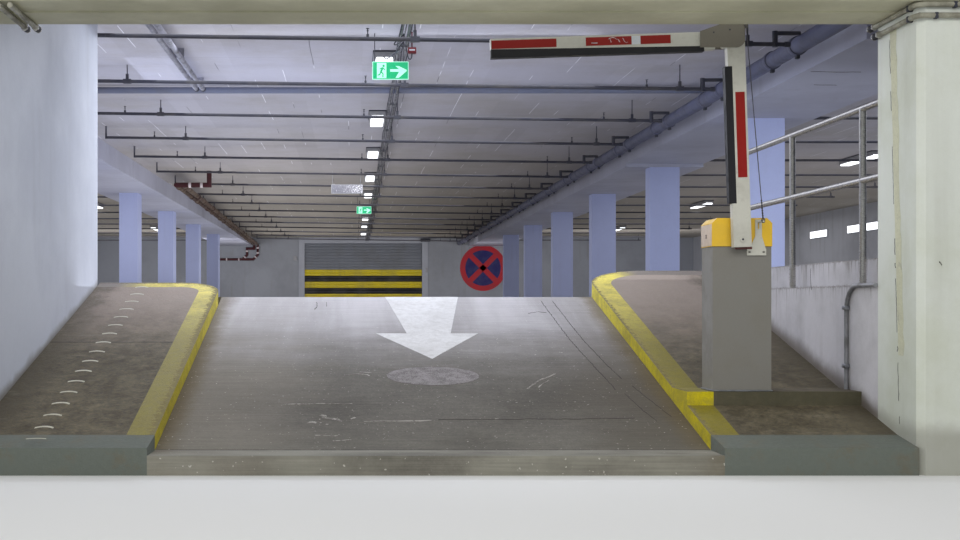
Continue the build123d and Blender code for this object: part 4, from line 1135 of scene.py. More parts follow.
    CRACK = RoadPaint("dark_crack", (62, 58, 54), (84, 80, 76), wear=0.3, wear_scale=30.0, roughness=0.9)
    PATCH = RoadPaint("grey_filled_patch", (142, 136, 136), (104, 100, 98), wear=0.5, wear_scale=130.0, roughness=0.8)


FINISHES = {
    Paint.LEFT_WALL: ("left_ramp_wall", "left_pier"),
    Paint.LOW_WALL: ("right_low_wall",),
    Paint.RIGHT_WALL: ("right_pier",),
    Paint.PORTAL: ("portal_beam",),
    Paint.BAND: ("front_drop_beam", "left_band_beam", "right_band_beam"),
    Paint.HALL_WALL: ("left_wall", "right_wall", "front_wall_left", "front_wall_right"),
    Paint.REAR_WALL: ("rear_wall",),
    Paint.CEILING: ("roof_slab",),
    Paint.COLUMN: ("left_columns", "right_columns"),
    Paint.SURROUND: ("shutter_surround",),
    Paint.SHUTTER: ("shutter_curtain",),
    Paint.HALL_FLOOR: ("floor_slab", "left_floor_plate", "right_floor_plate", "ramp_fill"),
    Paint.RAMP: ("ramp_slab",),
    Paint.WALK: ("left_walk", "right_walk"),
    Paint.LEFT_KERB: ("left_kerb",),
    Paint.RIGHT_KERB: ("right_kerb",),
    Paint.STAINLESS: ("railing",),
    Paint.CABINET: ("barrier_cabinet",),
    Paint.HOOD: ("cabinet_cap",),
    Paint.ARM: ("pivot_shaft", "wire_anchor", "boom_arm", "boom_tip"),
    Paint.RUBBER: ("arm_rubber", "tip_rubber"),
    Paint.PLATE: ("elbow_plates",),
    Paint.WIRE: ("tie_wire",),
    Paint.BRANCH_PIPE: ("sprinkler_branches",),
    Paint.MAIN_PIPE: ("sprinkler_main",),
    Paint.CROSS_PIPE: ("cross_pipe",),
    Paint.FIRE_PIPE: ("fire_main",),
    Paint.LAMP_BODY: ("light_fittings",),
    Paint.SIGN_BODY: ("lit_signs",),
    Paint.CONDUITS: ("conduits",),
}


def dress_nodes(nodes: dict[str, Piece]) -> None:
    """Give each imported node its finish.

    Args:
        nodes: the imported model's objects by name.
    """
    finish_of = {name: finish for finish, names in FINISHES.items() for name in names}
    for name, node in nodes.items():
        material = finish_of[name].value.material()
        if node.material_slots:
            for slot in node.material_slots:
                slot.material = material
        else:
            node.data.materials.append(material)
        log.info("dressed %s in %s", name, material.name)


# Modelling steps that every sub-assembly uses; a finished piece's object sits at the origin
SMOOTH_ANGLE = math.radians(35)
WELD = 0.00005
STRIP_THICKNESS = 0.0012


def clear() -> None:
    """Leave nothing selected."""
    bpy.ops.object.select_all(action="DESELECT")


def settle(piece: Piece) -> Piece:
    """Move the piece's place into its mesh.

    Args:
        piece: the piece.

    Returns:
        The same piece.
    """
    clear()
    piece.select_set(True)
    bpy.context.view_layer.objects.active = piece
    bpy.ops.object.transform_apply(location=True, rotation=True, scale=True)
    return piece


def round_edges(size: float, segments: int = 2) -> None:
    """Round the chosen edges of the piece in edit mode, and leave that mode."""
    bpy.ops.mesh.bevel(offset=size, segments=segments, affect="EDGES")
    bpy.ops.object.mode_set(mode="OBJECT")


def edit(action: str) -> None:
    """Enter edit mode with everything chosen (SELECT) or nothing (DESELECT)."""
    bpy.ops.object.mode_set(mode="EDIT")
    bpy.ops.mesh.select_all(action=action)


def block(low: Point, high: Point, bevel: float = 0.001, segments: int = 2) -> Piece:
    """Model a box with rounded edges.

    Args:
        low: its lowest corner.
        high: its highest corner.
        bevel: the rounding's size.
        segments: how many faces the rounding has.

    Returns:
        The box.
    """
    clear()
    middle = (Vector(low) + Vector(high)) / 2
    bpy.ops.mesh.primitive_cube_add(size=1.0, location=middle, scale=Vector(high) - Vector(low))
    piece = settle(bpy.context.object)
    edit("SELECT")
    round_edges(bevel, segments)
    return piece


def rod(start: Point, end: Point, radius: float, sides: int = 12, bevel: float = 0.0008) -> Piece:
    """Model a round bar with rounded rims.

    Args:
        start: the middle of its first end.
        end: the middle of its other end.
        radius: its radius.
        sides: how many faces go round it.
        bevel: the rounding of its rims.

    Returns:
        The bar.
    """
    clear()
    way = Vector(end) - Vector(start)
    bpy.ops.mesh.primitive_cylinder_add(
        vertices=sides, radius=radius, depth=way.length, location=(Vector(start) + Vector(end)) / 2,
        rotation=way.to_track_quat("Z", "Y").to_euler(),
    )
    piece = settle(bpy.context.object)
    edit("DESELECT")
    bpy.ops.object.mode_set(mode="OBJECT")
    for face in piece.data.polygons:
        face.select = abs(face.normal.dot(way.normalized())) > 0.9
    bpy.ops.object.mode_set(mode="EDIT")
    round_edges(bevel)
    return piece


def ring(middle: Point, axis: Point, radius: float, thickness: float, sides: int = 20) -> Piece:
    """Model a round ring.

    Args:
        middle: its middle.
        axis: the direction through its hole.
        radius: its radius to the middle of the bar.
        thickness: the bar's radius.
        sides: how many faces go round the ring.

    Returns:
        The ring.
    """
    clear()
    bpy.ops.mesh.primitive_torus_add(
        major_radius=radius, minor_radius=thickness, major_segments=sides, minor_segments=8, location=middle,
        rotation=Vector(axis).to_track_quat("Z", "Y").to_euler(),
    )
    return settle(bpy.context.object)


def drawn(kind: str, points: list[Point], shape: dict[str, object], run: dict[str, object]) -> Piece:
    """Draw a curve through points and make it a mesh.

    Args:
        kind: Blender's name of the curve's kind.
        points: the points that it follows.
        shape: attributes of the curve.
        run: attributes of its line.

    Returns:
        The mesh.
    """
    clear()
    curve = bpy.data.curves.new("outline", "CURVE")
    for name, value in shape.items():
        setattr(curve, name, value)
    spline = curve.splines.new(kind)
    spline.points.add(len(points) - 1)
    for point, place in zip(spline.points, points):
        point.co = (*place, 1.0)
    for name, value in run.items():
        setattr(spline, name, value)
    piece = bpy.data.objects.new("outline", curve)
    bpy.context.scene.collection.objects.link(piece)
    piece.select_set(True)
    bpy.context.view_layer.objects.active = piece
    bpy.ops.object.convert(target="MESH")
    return bpy.context.object


def sheet(corners: Outline, place: Matrix, thickness: float) -> Piece:
    """Cut a flat shape out of sheet.

    Args:
        corners: its outline, in its own plane.
        place: where that plane lies; the sheet's thickness lies half on each side.
        thickness: the sheet's thickness.

    Returns:
        The shape, as a mesh.
    """
    flat = {"dimensions": "2D", "fill_mode": "BOTH", "extrude": thickness / 2}
    piece = drawn("POLY", [(*corner, 0.0) for corner in corners], flat, {"use_cyclic_u": True})
    piece.matrix_world = place
    settle(piece)
    edit("SELECT")
    bpy.ops.mesh.remove_doubles(threshold=WELD)
    bpy.ops.mesh.normals_make_consistent(inside=False)
    bpy.ops.object.mode_set(mode="OBJECT")
    return piece


def ribbon(points: Outline, place: Matrix, width: float, seed: int) -> Piece:
    """Cut a thin ragged strip that follows points, for a crack or a scratch.

    Args:
        points: the points that it follows, in its own plane.
        place: where that plane lies.
        width: how wide it is on average.
        seed: what its raggedness starts from.

    Returns:
        The strip, as a mesh.
    """
    chance = random.Random(seed)
    left, right = [], []
    for (x_start, y_start), (x_end, y_end) in zip(points, points[1:]):
        run = Vector((x_end - x_start, y_end - y_start))
        across = Vector((-run.y, run.x)).normalized() * width
        steps = max(3, round(run.length / (6 * width)))
        for step in range(steps):
            middle = Vector((x_start, y_start)) + run * step / steps + across * chance.uniform(-0.9, 0.9)
            half = across * chance.uniform(0.2, 0.8)
            left.append(tuple(middle + half))
            right.append(tuple(middle - half))
    return sheet(left + right[::-1], place, STRIP_THICKNESS)


def cable(points: list[Point], radius: float) -> Piece:
    """Bend a fixed cable or wire of a radius through points on a smooth line."""
    bar = {"dimensions": "3D", "bevel_depth": radius, "bevel_resolution": 2, "use_fill_caps": True}
    return drawn("NURBS", points, bar, {"order_u": 3, "use_endpoint_u": True, "resolution_u": 6})


def repeat(piece: Piece, steps: list[Point]) -> list[Piece]:
    """Copy a piece to more places, each copy with its own mesh.

    Args:
        piece: the first piece, which stays where it is.
        steps: how far each copy lies from it.

    Returns:
        The piece and its copies.
    """
    row = [piece]
    for step in steps:
        copy = piece.copy()
        copy.data = piece.data.copy()
        copy.data.transform(Matrix.Translation(step))
        bpy.context.scene.collection.objects.link(copy)
        row.append(copy)
    return row


def complete(name: str, parts: list[Piece], finish: Paint, body: str = BUILDING) -> None:
    """Join parts into one named piece, paint it and let it ride.

    Args:
        name: the piece's name.
        parts: what it is made of.
        finish: its finish.
        body: the body that it rides on.
    """
    clear()
    for part in parts:
        part.select_set(True)
    piece = parts[0]
    bpy.context.view_layer.objects.active = piece
    if len(parts) > 1:
        bpy.ops.object.join()
    piece.name = name
    piece.data.name = name
    piece.data.materials.clear()
    piece.data.materials.append(finish.value.material())
    bpy.ops.object.shade_smooth_by_angle(angle=SMOOTH_ANGLE)
    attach(piece, body)
    log.info("built %s on %s, %d faces", name, body, len(piece.data.polygons))


def facing_front(x: float, y: float, z: float) -> Matrix:
    """Place a sheet upright, its own +Y up, facing whoever drives in."""
    return Matrix.Translation((x, y, z)) @ Matrix.Rotation(math.pi / 2, 4, "X")


def facing_lane(x: float) -> Matrix:
    """Place a sheet on an upright face along the building, its own +X inwards and its own +Y up."""
    upright = Matrix.Rotation(math.pi / 2, 4, "Z") @ Matrix.Rotation(math.pi / 2, 4, "X")
    return Matrix.Translation((x, 0.0, 0.0)) @ upright


def on_ramp(x: float, y: float, lift: float) -> Matrix:
    """Place a sheet a little over the ramp's surface, its own +Y up the slope."""
    height = ramp_height(y) + lift
    return Matrix.Translation((x, y, height)) @ Matrix.Rotation(math.atan(RAMP_SLOPE), 4, "X")


def on_walk(x: float, y: float, lift: float) -> Matrix:
    """Place a sheet a little over the left walk, which climbs a little steeper than the ramp.

    Args:
        x: where its origin lies across the building.
        y: where its origin lies along the building.
        lift: its height over the walk's surface.

    Returns:
        The place.
    """
    height = WALK_START + (y - RAMP_FOOT) * WALK_SLOPE + lift
    return Matrix.Translation((x, y, height)) @ Matrix.Rotation(math.atan(WALK_SLOPE), 4, "X")


def oval(width: float, height: float, count: int = 32) -> Outline:
    """Give the corners of an oval, anticlockwise."""
    turns = [2 * math.pi * index / count for index in range(count)]
    return [(width / 2 * math.cos(turn), height / 2 * math.sin(turn)) for turn in turns]


def rectangle(left: float, low: float, right: float, high: float) -> Outline:
    """Give the corners of a rectangle, anticlockwise."""
    return [(left, low), (right, low), (right, high), (left, high)]


@dataclass
class RampMarkings:
    """The painted arrow, the filled patch, the joints and the brushed strokes on the left walk."""

    slope: float = math.cos(math.atan(RAMP_SLOPE))
    arrow_middle: float = -0.493
    arrow_tip: float = -17.163
    head_place: float = -16.525
    head_left: float = -0.36
    head_right: float = 0.364
    neck_left: float = -0.141
    neck_right: float = 0.169
    crest_left: float = -0.27
    crest_right: float = 0.308
    paint: float = 0.0016
    patch: Flat = (-0.51, -17.542)
    patch_size: Flat = (0.58, 0.4)
    joint_width: float = 0.01
    joint_height: float = 0.0012
    ramp_joint: float = -18.865
    ramp_sides: Flat = (-2.05, 0.87)
    walk_sides: Flat = (-3.018, -2.21)
    stroke_x: float = -2.664
    stroke_first: float = -18.748
    stroke_pitch: float = 0.1955
    stroke_widening: float = 0.00113
    strokes: int = 16
    stroke_width: float = 0.1
    stroke_band: float = 0.02
    stroke_arch: float = 0.022
    level_stroke: Flat = (0.033, 0.069)
    walk_joint: float = -17.104

    def build(self) -> None:
        """Paint every marking."""
        self.arrow()
        self.filled_patch()
        self.joints()
        self.walk_strokes()

    def arrow(self) -> None:
        """Paint the arrow down the ramp, its shaft wider at the crest."""
        head, crest = ((place - self.arrow_tip) / self.slope for place in (self.head_place, CREST))
        corners = [
            (0.0, 0.0), (self.head_right, head), (self.neck_right, head), (self.crest_right, crest),
            (self.crest_left, crest), (self.neck_left, head), (self.head_left, head),
        ]
        arrow = sheet(corners, on_ramp(self.arrow_middle, self.arrow_tip, self.paint / 2), self.paint)
        complete("painted_arrow", [arrow], Paint.WHITE_LINE)

    def filled_patch(self) -> None:
        """Fill the round hole in the ramp."""
        x, y = self.patch
        width, length = self.patch_size
        patch = sheet(oval(width, length), on_ramp(x, y, self.paint / 2), self.paint)
        complete("filled_patch", [patch], Paint.PATCH)

    def joints(self) -> None:
        """Draw the joints across the ramp and the left walk."""
        half, thin = self.joint_width / 2, self.joint_height
        over_ramp = on_ramp(0.0, self.ramp_joint, thin / 2)
        over_walk = on_walk(0.0, self.walk_joint, thin / 2)
        lines = [
            sheet(rectangle(left, -half, right, half), place, thin)
            for (left, right), place in ((self.ramp_sides, over_ramp), (self.walk_sides, over_walk))
        ]
        complete("floor_joints", lines, Paint.JOINT_AND_SHADOW)

    def walk_strokes(self) -> None:
        """Brush the row of short arched strokes on the left walk."""
        half = self.stroke_width / 2
        upper = [(half * share, self.stroke_arch * (1 - share * share)) for share in (1, 0.6, 0.2, -0.2, -0.6, -1)]
        outline = upper + [(x, y - self.stroke_band) for x, y in reversed(upper)]
        first = sheet(outline, on_walk(self.stroke_x, self.stroke_first, self.paint / 2), self.paint)
        rise = on_walk(0.0, 1.0, 0.0).translation.z - on_walk(0.0, 0.0, 0.0).translation.z
        places = [index * (self.stroke_pitch + index * self.stroke_widening) for index in range(1, self.strokes)]
        row = repeat(first, [(0.0, place, place * rise) for place in places])
        aside, inwards = self.level_stroke
        level = Matrix.Translation((self.stroke_x + aside, FRONT + inwards, WALK_START + self.paint / 2))
        row.append(sheet(outline, level, self.paint))
        complete("walk_strokes", row, Paint.CREAM_STROKE)


@dataclass
class LightGear:
    """The diffusers under the light boxes, which also show on the boxes' ends, and the boxes' top rims."""

    boxes: tuple[tuple[float, float, float, int, float], ...] = (
        (-0.735, -14.035, 0.75, 9, 3.6), (-6.85, -6.425, 1.3, 5, 4.6), (6.76, -6.425, 1.3, 5, 4.6),
    )
    width: float = 0.195
    glow_width: float = 0.152
    glow_low: float = 3.054
    glow_high: float = 3.092
    glow_beyond: float = 0.004
    rim: float = 0.006
    rim_height: float = 0.014

    def build(self) -> None:
        """Fit a diffuser and a rim to every light box."""
        trays, rims = [], []
        for x, start, length, count, pitch in self.boxes:
            steps = [(0.0, pitch * index, 0.0) for index in range(1, count)]
            for row, half, beyond, foot, top, bevel, segments in (
                (trays, self.glow_width / 2, self.glow_beyond, self.glow_low, self.glow_high, 0.011, 3),
                (rims, self.width / 2 + self.rim, self.rim, CEILING - self.rim_height, CEILING, 0.003, 2),
            ):
                low = (x - half, start - beyond, foot)
                high = (x + half, start + length + beyond, top)
                row += repeat(block(low, high, bevel, segments), steps)
        complete("light_diffusers", trays, Paint.LAMP_COVER)
        complete("light_rims", rims, Paint.DARK_FITTING_AND_SHADOW)


@dataclass
class SprinklerGear:
    """Upright sprinkler heads on the branches, couplings on the main, and clamps."""

    first: float = -15.465
    pitch: float = 2.137
    rows: int = 16
    pipe_height: float = 3.005
    pipe_left: float = -4.19
    fall: float = 0.0135
    pipe_radius: float = 0.017
    heads: tuple[float, ...] = (-3.57, -0.9, 1.78)
    head: tuple[tuple[float, float, float, int, float], ...] = (
        (-0.004, 0.02, 0.011, 8, 0.0008), (0.018, 0.066, 0.0045, 6, 0.0005), (0.062, 0.066, 0.014, 10, 0.0008),
        (0.044, 0.048, 0.01, 8, 0.0008),
    )
    main_x: float = 2.567
    main_z: float = 2.95
    main_radius: float = 0.068

    def height(self, x: float) -> float:
        """Height of a branch pipe's middle at a place across the hall."""
        return self.pipe_height - (x - self.pipe_left) * self.fall

    def build(self) -> None:
        """Model one of each and copy it along the hall."""
        steps = [(0.0, self.pitch * index, 0.0) for index in range(1, self.rows)]
        self.sprinkler_heads(steps)
        self.main_couplings(steps)

    def sprinkler_heads(self, steps: list[Point]) -> None:
        """Screw an upright head into each branch.

        Args:
            steps: how far each further branch lies from the first.
        """
        parts = []
        for x in self.heads:
            foot = self.height(x) + self.pipe_radius
            for low, high, radius, sides, bevel in self.head:
                ends = ((x, self.first, foot + level) for level in (low, high))
                parts += repeat(rod(*ends, radius, sides, bevel), steps)
        complete("sprinkler_heads", parts, Paint.DARK_FITTING_AND_SHADOW)

    def main_couplings(self, steps: list[Point]) -> None:
        """Clamp ring couplings with dark feet round the main pipe, two at each branch.

        Args:
            steps: how far each further branch lies from the first.
        """
        rings, feet = [], []
        x, z, under = self.main_x, self.main_z, self.main_z - self.main_radius
        for gap in (0.23, 0.86):
            place = self.first + gap
            ends = ((x, place + half, z) for half in (-0.03, 0.03))
            rings += repeat(rod(*ends, self.main_radius + 0.011, sides=24, bevel=0.006), steps)
            low, high = (x - 0.016, place - 0.022, under - 0.036), (x + 0.016, place + 0.022, under - 0.004)
            feet += repeat(block(low, high, bevel=0.004), steps)
        complete("main_couplings", rings, Paint.MAIN_PIPE)
        complete("coupling_feet", feet, Paint.DARK_FITTING_AND_SHADOW)


@dataclass
class HungSign:
    """A lit exit sign: green face, white rim, a figure that runs to a doorway, and an arrow."""

    name: str
    left: float
    front: float
    low: float
    width: float = 0.305
    height: float = 0.152
    rim: float = 0.006
    depth: float = 0.003
    lift: float = 0.002
    door: tuple[float, float, float, float] = (0.038, 0.012, 0.118, 0.14)
    arrow: tuple[Flat, ...] = (
        (0.15, 0.065), (0.225, 0.065), (0.195, 0.014), (0.222, 0.014), (0.288, 0.0705), (0.288, 0.0815),
        (0.222, 0.11376), (0.195, 0.11376), (0.225, 0.087), (0.15, 0.087),
    )
    hip: Flat = (0.072, 0.066)
    body: float = 0.038
    lean: float = 0.44
    sleeve: float = 0.0036
    sleeve_back: float = 0.015
    sleeve_places: Flat = (0.02, 0.265)

    def shape(self, corners: Outline, layer: int) -> Piece:
        """Cut a shape and lay it on the sign's front.

        Args:
            corners: the outline in the sign's plane, from its lower left corner.
            layer: how many layers lie under it.

        Returns:
            The shape.
        """
        front = self.front - self.depth / 2 - layer * self.lift
        return sheet(corners, facing_front(self.left, front, self.low), self.depth)

    def build(self) -> None:
        """Stack the faces from the back to the front."""
        inner = rectangle(self.rim, self.rim, self.width - self.rim, self.height - self.rim)
        complete(f"{self.name}_face", [self.shape(inner, 1)], Paint.SIGN_GREEN)
        rim = rectangle(0.0, 0.0, self.width, self.height)
        complete(f"{self.name}_rim", [self.shape(rim, 0)], Paint.SIGN_WHITE)
        white = [self.shape(rectangle(*self.door), 2), self.shape(list(self.arrow), 2)]
        complete(f"{self.name}_white", white, Paint.SIGN_WHITE)
        self.figure()
        middle, top = self.front + self.sleeve_back, self.low + self.height
        sleeves = [
            rod((self.left + aside, middle, top), (self.left + aside, middle, CEILING), self.sleeve, sides=8)
            for aside in self.sleeve_places
        ]
        complete(f"{self.name}_sleeves", sleeves, Paint.DARK_FITTING_AND_SHADOW)

    def figure(self) -> None:
        """Set the running figure in the doorway: a round head on seven straight strips."""
        def limb(start: Flat, end: Flat, half: float) -> Outline:
            """Draw one limb of the figure."""
            across = Vector((end[1] - start[1], start[0] - end[0])).normalized() * half
            return [
                (start[0] - across.x, start[1] - across.y), (end[0] - across.x, end[1] - across.y),
                (end[0] + across.x, end[1] + across.y), (start[0] + across.x, start[1] + across.y),
            ]

        hip = self.hip
        neck = (hip[0] + self.body * math.sin(self.lean), hip[1] + self.body * math.cos(self.lean))
        limbs = [
            limb(hip, neck, 0.0075), limb(neck, (0.106, 0.08), 0.0035), limb((0.082, 0.098), (0.062, 0.088), 0.0035),
            limb(hip, (0.09, 0.048), 0.0048), limb((0.09, 0.048), (0.088, 0.02), 0.0042),
            limb(hip, (0.062, 0.042), 0.0048), limb((0.062, 0.042), (0.044, 0.036), 0.0042),
        ]
        shapes = [self.shape(corners, 3) for corners in limbs]
        head = [(x + neck[0] + 0.006, y + neck[1] + 0.014) for x, y in oval(0.019, 0.019, 16)]
        shapes.append(self.shape(head, 3))
        complete(f"{self.name}_figure", shapes, Paint.SIGN_GREEN)


@dataclass
class CeilingSmallGear:
    """The alarm box by the rails, the loose cables on them, and the dark plugs of the left conduits."""

    rail_x: Flat = (-0.625, -0.57)
    rail_z: float = 3.045
    alarm_low: Point = (-0.558, -14.85, 2.968)
    alarm_high: Point = (-0.487, -14.79, 3.018)
    cable_run: Flat = (-18.6, 18.8)
    cable_points: int = 64
    cable_radius: float = 0.0045
    cable_waves: tuple[Point, ...] = ((-0.018, 0.014, 0.5), (0.026, 0.02, 1.9), (0.071, 0.012, 3.1))
    loop_radius: float = 0.005
    loops: tuple[tuple[Point, ...], ...] = (
        ((-0.6, -15.32, 3.03), (-0.66, -15.28, 2.99), (-0.69, -15.2, 2.97), (-0.66, -15.1, 2.985),
        (-0.61, -15.05, 3.03)), ((-0.59, -15.1, 3.03), (-0.645, -15.02, 2.975), (-0.655, -14.9, 2.96),
        (-0.62, -14.8, 2.985), (-0.6, -14.74, 3.03)), ((-0.62, -14.72, 3.03), (-0.69, -14.62, 2.985),
        (-0.73, -14.45, 2.99), (-0.74, -14.25, 3.04), (-0.745, -14.1, 3.08)),
        ((-0.523, -14.82, 2.97), (-0.522, -14.82, 2.94), (-0.535, -14.83, 2.915), (-0.56, -14.84, 2.93),
        (-0.575, -14.85, 3.03)),
    )
    clip_first: float = -18.0
    clip_pitch: float = 1.0685
    clips: int = 34
    conduit_ends: tuple[Flat, ...] = ((-2.623, 3.068), (-2.555, 3.068))
    conduit_end_place: float = -12.415
    conduit_radius: float = 0.023

    def build(self) -> None:
        """Model the alarm box, the cables and the plugs."""
        self.alarm_box()
        self.cables()
        self.rail_clips()
        self.conduit_plugs()

    def alarm_box(self) -> None:
        """Hang the red alarm box on a stem from the ceiling beside the rails."""
        (left, front, foot), (right, back, top) = self.alarm_low, self.alarm_high
        middle = (left + right) / 2, (front + back) / 2
        box = block(self.alarm_low, self.alarm_high, bevel=0.005, segments=3)
        stem = rod((*middle, top - 0.002), (*middle, CEILING), 0.006)
        complete("alarm_box", [box, stem], Paint.ALARM_RED)
        low, high = (left + 0.012, front - 0.002, foot + 0.02), (right - 0.012, front + 0.004, foot + 0.031)
        complete("alarm_label_plate", [block(low, high)], Paint.SIGN_BODY)

    def cables(self) -> None:
        """Tie the dark cables to the rails, a little slack between the ties."""
        lines = []
        (start, end), count = self.cable_run, self.cable_points
        for shift, drop, wave in self.cable_waves:
            points = []
            for index in range(count + 1):
                place = start + (end - start) * index / count
                sway = 0.006 * math.sin(place * 2.3 + wave) + 0.004 * math.sin(place * 5.1 + 2 * wave)
                sag = 0.008 * (0.5 + 0.5 * math.sin(place * 3.7 + wave))
                points.append((self.rail_x[0] + shift + sway, place, self.rail_z - drop - sag))
            lines.append(cable(points, self.cable_radius))
        lines += [cable(loop, self.loop_radius) for loop in self.loops]
        complete("rail_cables", lines, Paint.DARK_FITTING_AND_SHADOW)

    def rail_clips(self) -> None:
        """Screw clips across the rail pair at every half branch pitch."""
        left, right = self.rail_x
        low = (left - 0.016, self.clip_first, self.rail_z - 0.014)
        high = (right + 0.016, self.clip_first + 0.028, self.rail_z + 0.015)
        first = block(low, high, bevel=0.003)
        middle, along = (left + right) / 2, self.clip_first + 0.014
        hanger = rod((middle, along, self.rail_z), (middle, along, CEILING), 0.004, sides=6)
        steps = [(0.0, self.clip_pitch * index, 0.0) for index in range(1, self.clips)]
        parts = repeat(first, steps) + repeat(hanger, steps)
        complete("rail_clips", parts, Paint.GALVANISED)

    def conduit_plugs(self) -> None:
        """Close the inner ends of the left conduits with dark plugs."""
        plugs = []
        for x, z in self.conduit_ends:
            start = (x, self.conduit_end_place - 0.03, z)
            end = (x, self.conduit_end_place + 0.012, z)
            plugs.append(rod(start, end, self.conduit_radius + 0.004, sides=16, bevel=0.003))
        complete("conduit_plugs", plugs, Paint.DARK_FITTING_AND_SHADOW)


@dataclass
class BarrierDress:
    """What the barrier carries: reflector strips, screws, the hood's side, its joint and a painted shadow of the arm,
    plates, and the wire's shackle.
    """

    pivot: Point = (1.168, -18.42, 1.2315)
    elbow: Point = (1.07239, -18.42, 2.32434)
    arm_lean: float = math.radians(1.95)
    tip_droop: float = math.radians(1.9)
    arm_front: float = -18.445
    strip_thickness: float = 0.0012
    arm_strip: tuple[float, float, float, float] = (0.347, 0.825, 0.0125, 0.052)
    tip_strips: tuple[Flat, ...] = ((0.306, 0.475), (0.525, 0.781), (0.945, 1.309))
    tip_patch: Flat = (0.4755, 0.5245)
    tip_strip_middle: float = 0.038
    tip_strip_height: float = 0.047
    cabinet_left: float = 1.02
    cabinet_right: float = 1.352
    cabinet_front: float = -18.371
    cabinet_back: float = -18.148
    cabinet_foot: float = 0.376
    hood_left: float = 1.016
    hood_front: float = -18.375
    hood_back: float = -18.144
    hood_foot: float = 1.196
    hood_top: float = 1.356
    front_screws: tuple[Flat, ...] = ((1.1395, 1.338), (1.1395, 1.288), (1.1395, 1.222), (1.29, 1.338), (1.29, 1.222))
    side_screws: Flat = (1.249, 1.262)
    plate_screws: tuple[Point, ...] = ((1.0, -18.468, 2.385), (1.09, -18.468, 2.4))
    tail: Flat = (0.018, 0.1)
    tail_turns: float = 3.5
    tail_points: int = 33

    def build(self) -> None:
        """Dress the arms, the cabinet, the hood and the wire."""
        self.arm_strips()
        self.screws()
        self.hood_side()
        self.cabinet_details()
        self.wire_details()

    def on_arm(self, hinge: Point, lean: float, lift: float) -> Matrix:
        """Place a sheet on the front of an arm that leans from its hinge."""
        return facing_front(hinge[0], self.arm_front - lift, hinge[2]) @ Matrix.Rotation(lean, 4, "Z")

    def arm_strips(self) -> None:
        """Stick the red strips on both arms and the white patch between two of them."""
        thick = self.strip_thickness
        start, end, aside, width = self.arm_strip
        corners = rectangle(aside - width / 2, start, aside + width / 2, end)
        strip = sheet(corners, self.on_arm(self.pivot, self.arm_lean, thick / 2), thick)
        complete("arm_red_strip", [strip], Paint.RED_STRIP, "boom_arm")
        low = self.tip_strip_middle - self.tip_strip_height / 2
        high = self.tip_strip_middle + self.tip_strip_height / 2
        place = self.on_arm(self.elbow, self.tip_droop, thick / 2)
        strips = [sheet(rectangle(-far, low, -near, high), place, thick) for near, far in self.tip_strips]
        complete("tip_red_strips", strips, Paint.RED_STRIP, "boom_tip")
        near, far = self.tip_patch
        patch = sheet(rectangle(-far, low, -near, high), place, thick)
        complete("tip_white_patch", [patch], Paint.SIGN_BODY, "boom_tip")
        routes = [
            [(-0.655, 0.05), (-0.63, 0.057), (-0.6, 0.045), (-0.588, 0.02)], [(-0.645, 0.054), (-0.64, 0.018)],
            [(-0.75, 0.03), (-0.7, 0.026)], [(-0.575, 0.05), (-0.56, 0.03), (-0.54, 0.026)],
        ]
        place = self.on_arm(self.elbow, self.tip_droop, thick + 0.0004)
        scratches = [ribbon(route, place, 0.0028, 90 + index) for index, route in enumerate(routes)]
        complete("tip_scratches", scratches, Paint.SIGN_BODY, "boom_tip")

    @staticmethod
    def screw(place: Point, radius: float, way: Vector) -> Piece:
        """Turn a domed screw head that stands out in a direction."""
        foot, top = Vector(place) - way * 0.001, Vector(place) + way * radius * 0.55
        return rod(tuple(foot), tuple(top), radius, sides=14, bevel=radius * 0.35)

    def screws(self) -> None:
        """Drive the screws of the hood and the arm's bolt."""
        front, left = Vector((0.0, -1.0, 0.0)), Vector((-1.0, 0.0, 0.0))
        heads = [self.screw((across, self.hood_front, height), 0.0045, front) for across, height in self.front_screws]
        heads += [self.screw((self.hood_left - 0.0018, -18.26, height), 0.006, left) for height in self.side_screws]
        complete("hood_screws", heads, Paint.DARK_FITTING_AND_SHADOW)
        bolt = self.screw((self.pivot[0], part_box("pivot_shaft")[0][1], self.pivot[2]), 0.006, front)
        plate_bolts = [self.screw(place, 0.005, front) for place in self.plate_screws]
        complete("shaft_bolt", [bolt], Paint.DARK_FITTING_AND_SHADOW)
        complete("plate_bolts", plate_bolts, Paint.DARK_FITTING_AND_SHADOW, "boom_tip")

    def hood_side(self) -> None:
        """Fit the hood's beige side panel, the dark joint at its foot, and a dark strip beside the arm that is painted
        shadow.
        """
        low = (self.hood_left - 0.0018, self.hood_front + 0.006, self.hood_foot + 0.004)
        high = (self.hood_left + 0.001, self.hood_back - 0.006, self.hood_top - 0.034)
        complete("hood_side_panel", [block(low, high)], Paint.HOOD_SIDE)
        # Painted shadow: a thin dark strip down the hood's front where the arm shades it.
        low = (1.137, self.hood_front - 0.0012, self.hood_foot + 0.003)
        seam = block(low, (1.1405, self.hood_front + 0.002, self.hood_top - 0.006), bevel=0.0004)
        foot = block(
            (self.cabinet_left - 0.001, self.cabinet_front - 0.001, self.hood_foot - 0.0035),
            (self.cabinet_right + 0.001, self.cabinet_back + 0.001, self.hood_foot + 0.0005), bevel=0.0004,
        )
        complete("hood_joint_and_arm_shadow", [seam, foot], Paint.DARK_FITTING_AND_SHADOW)

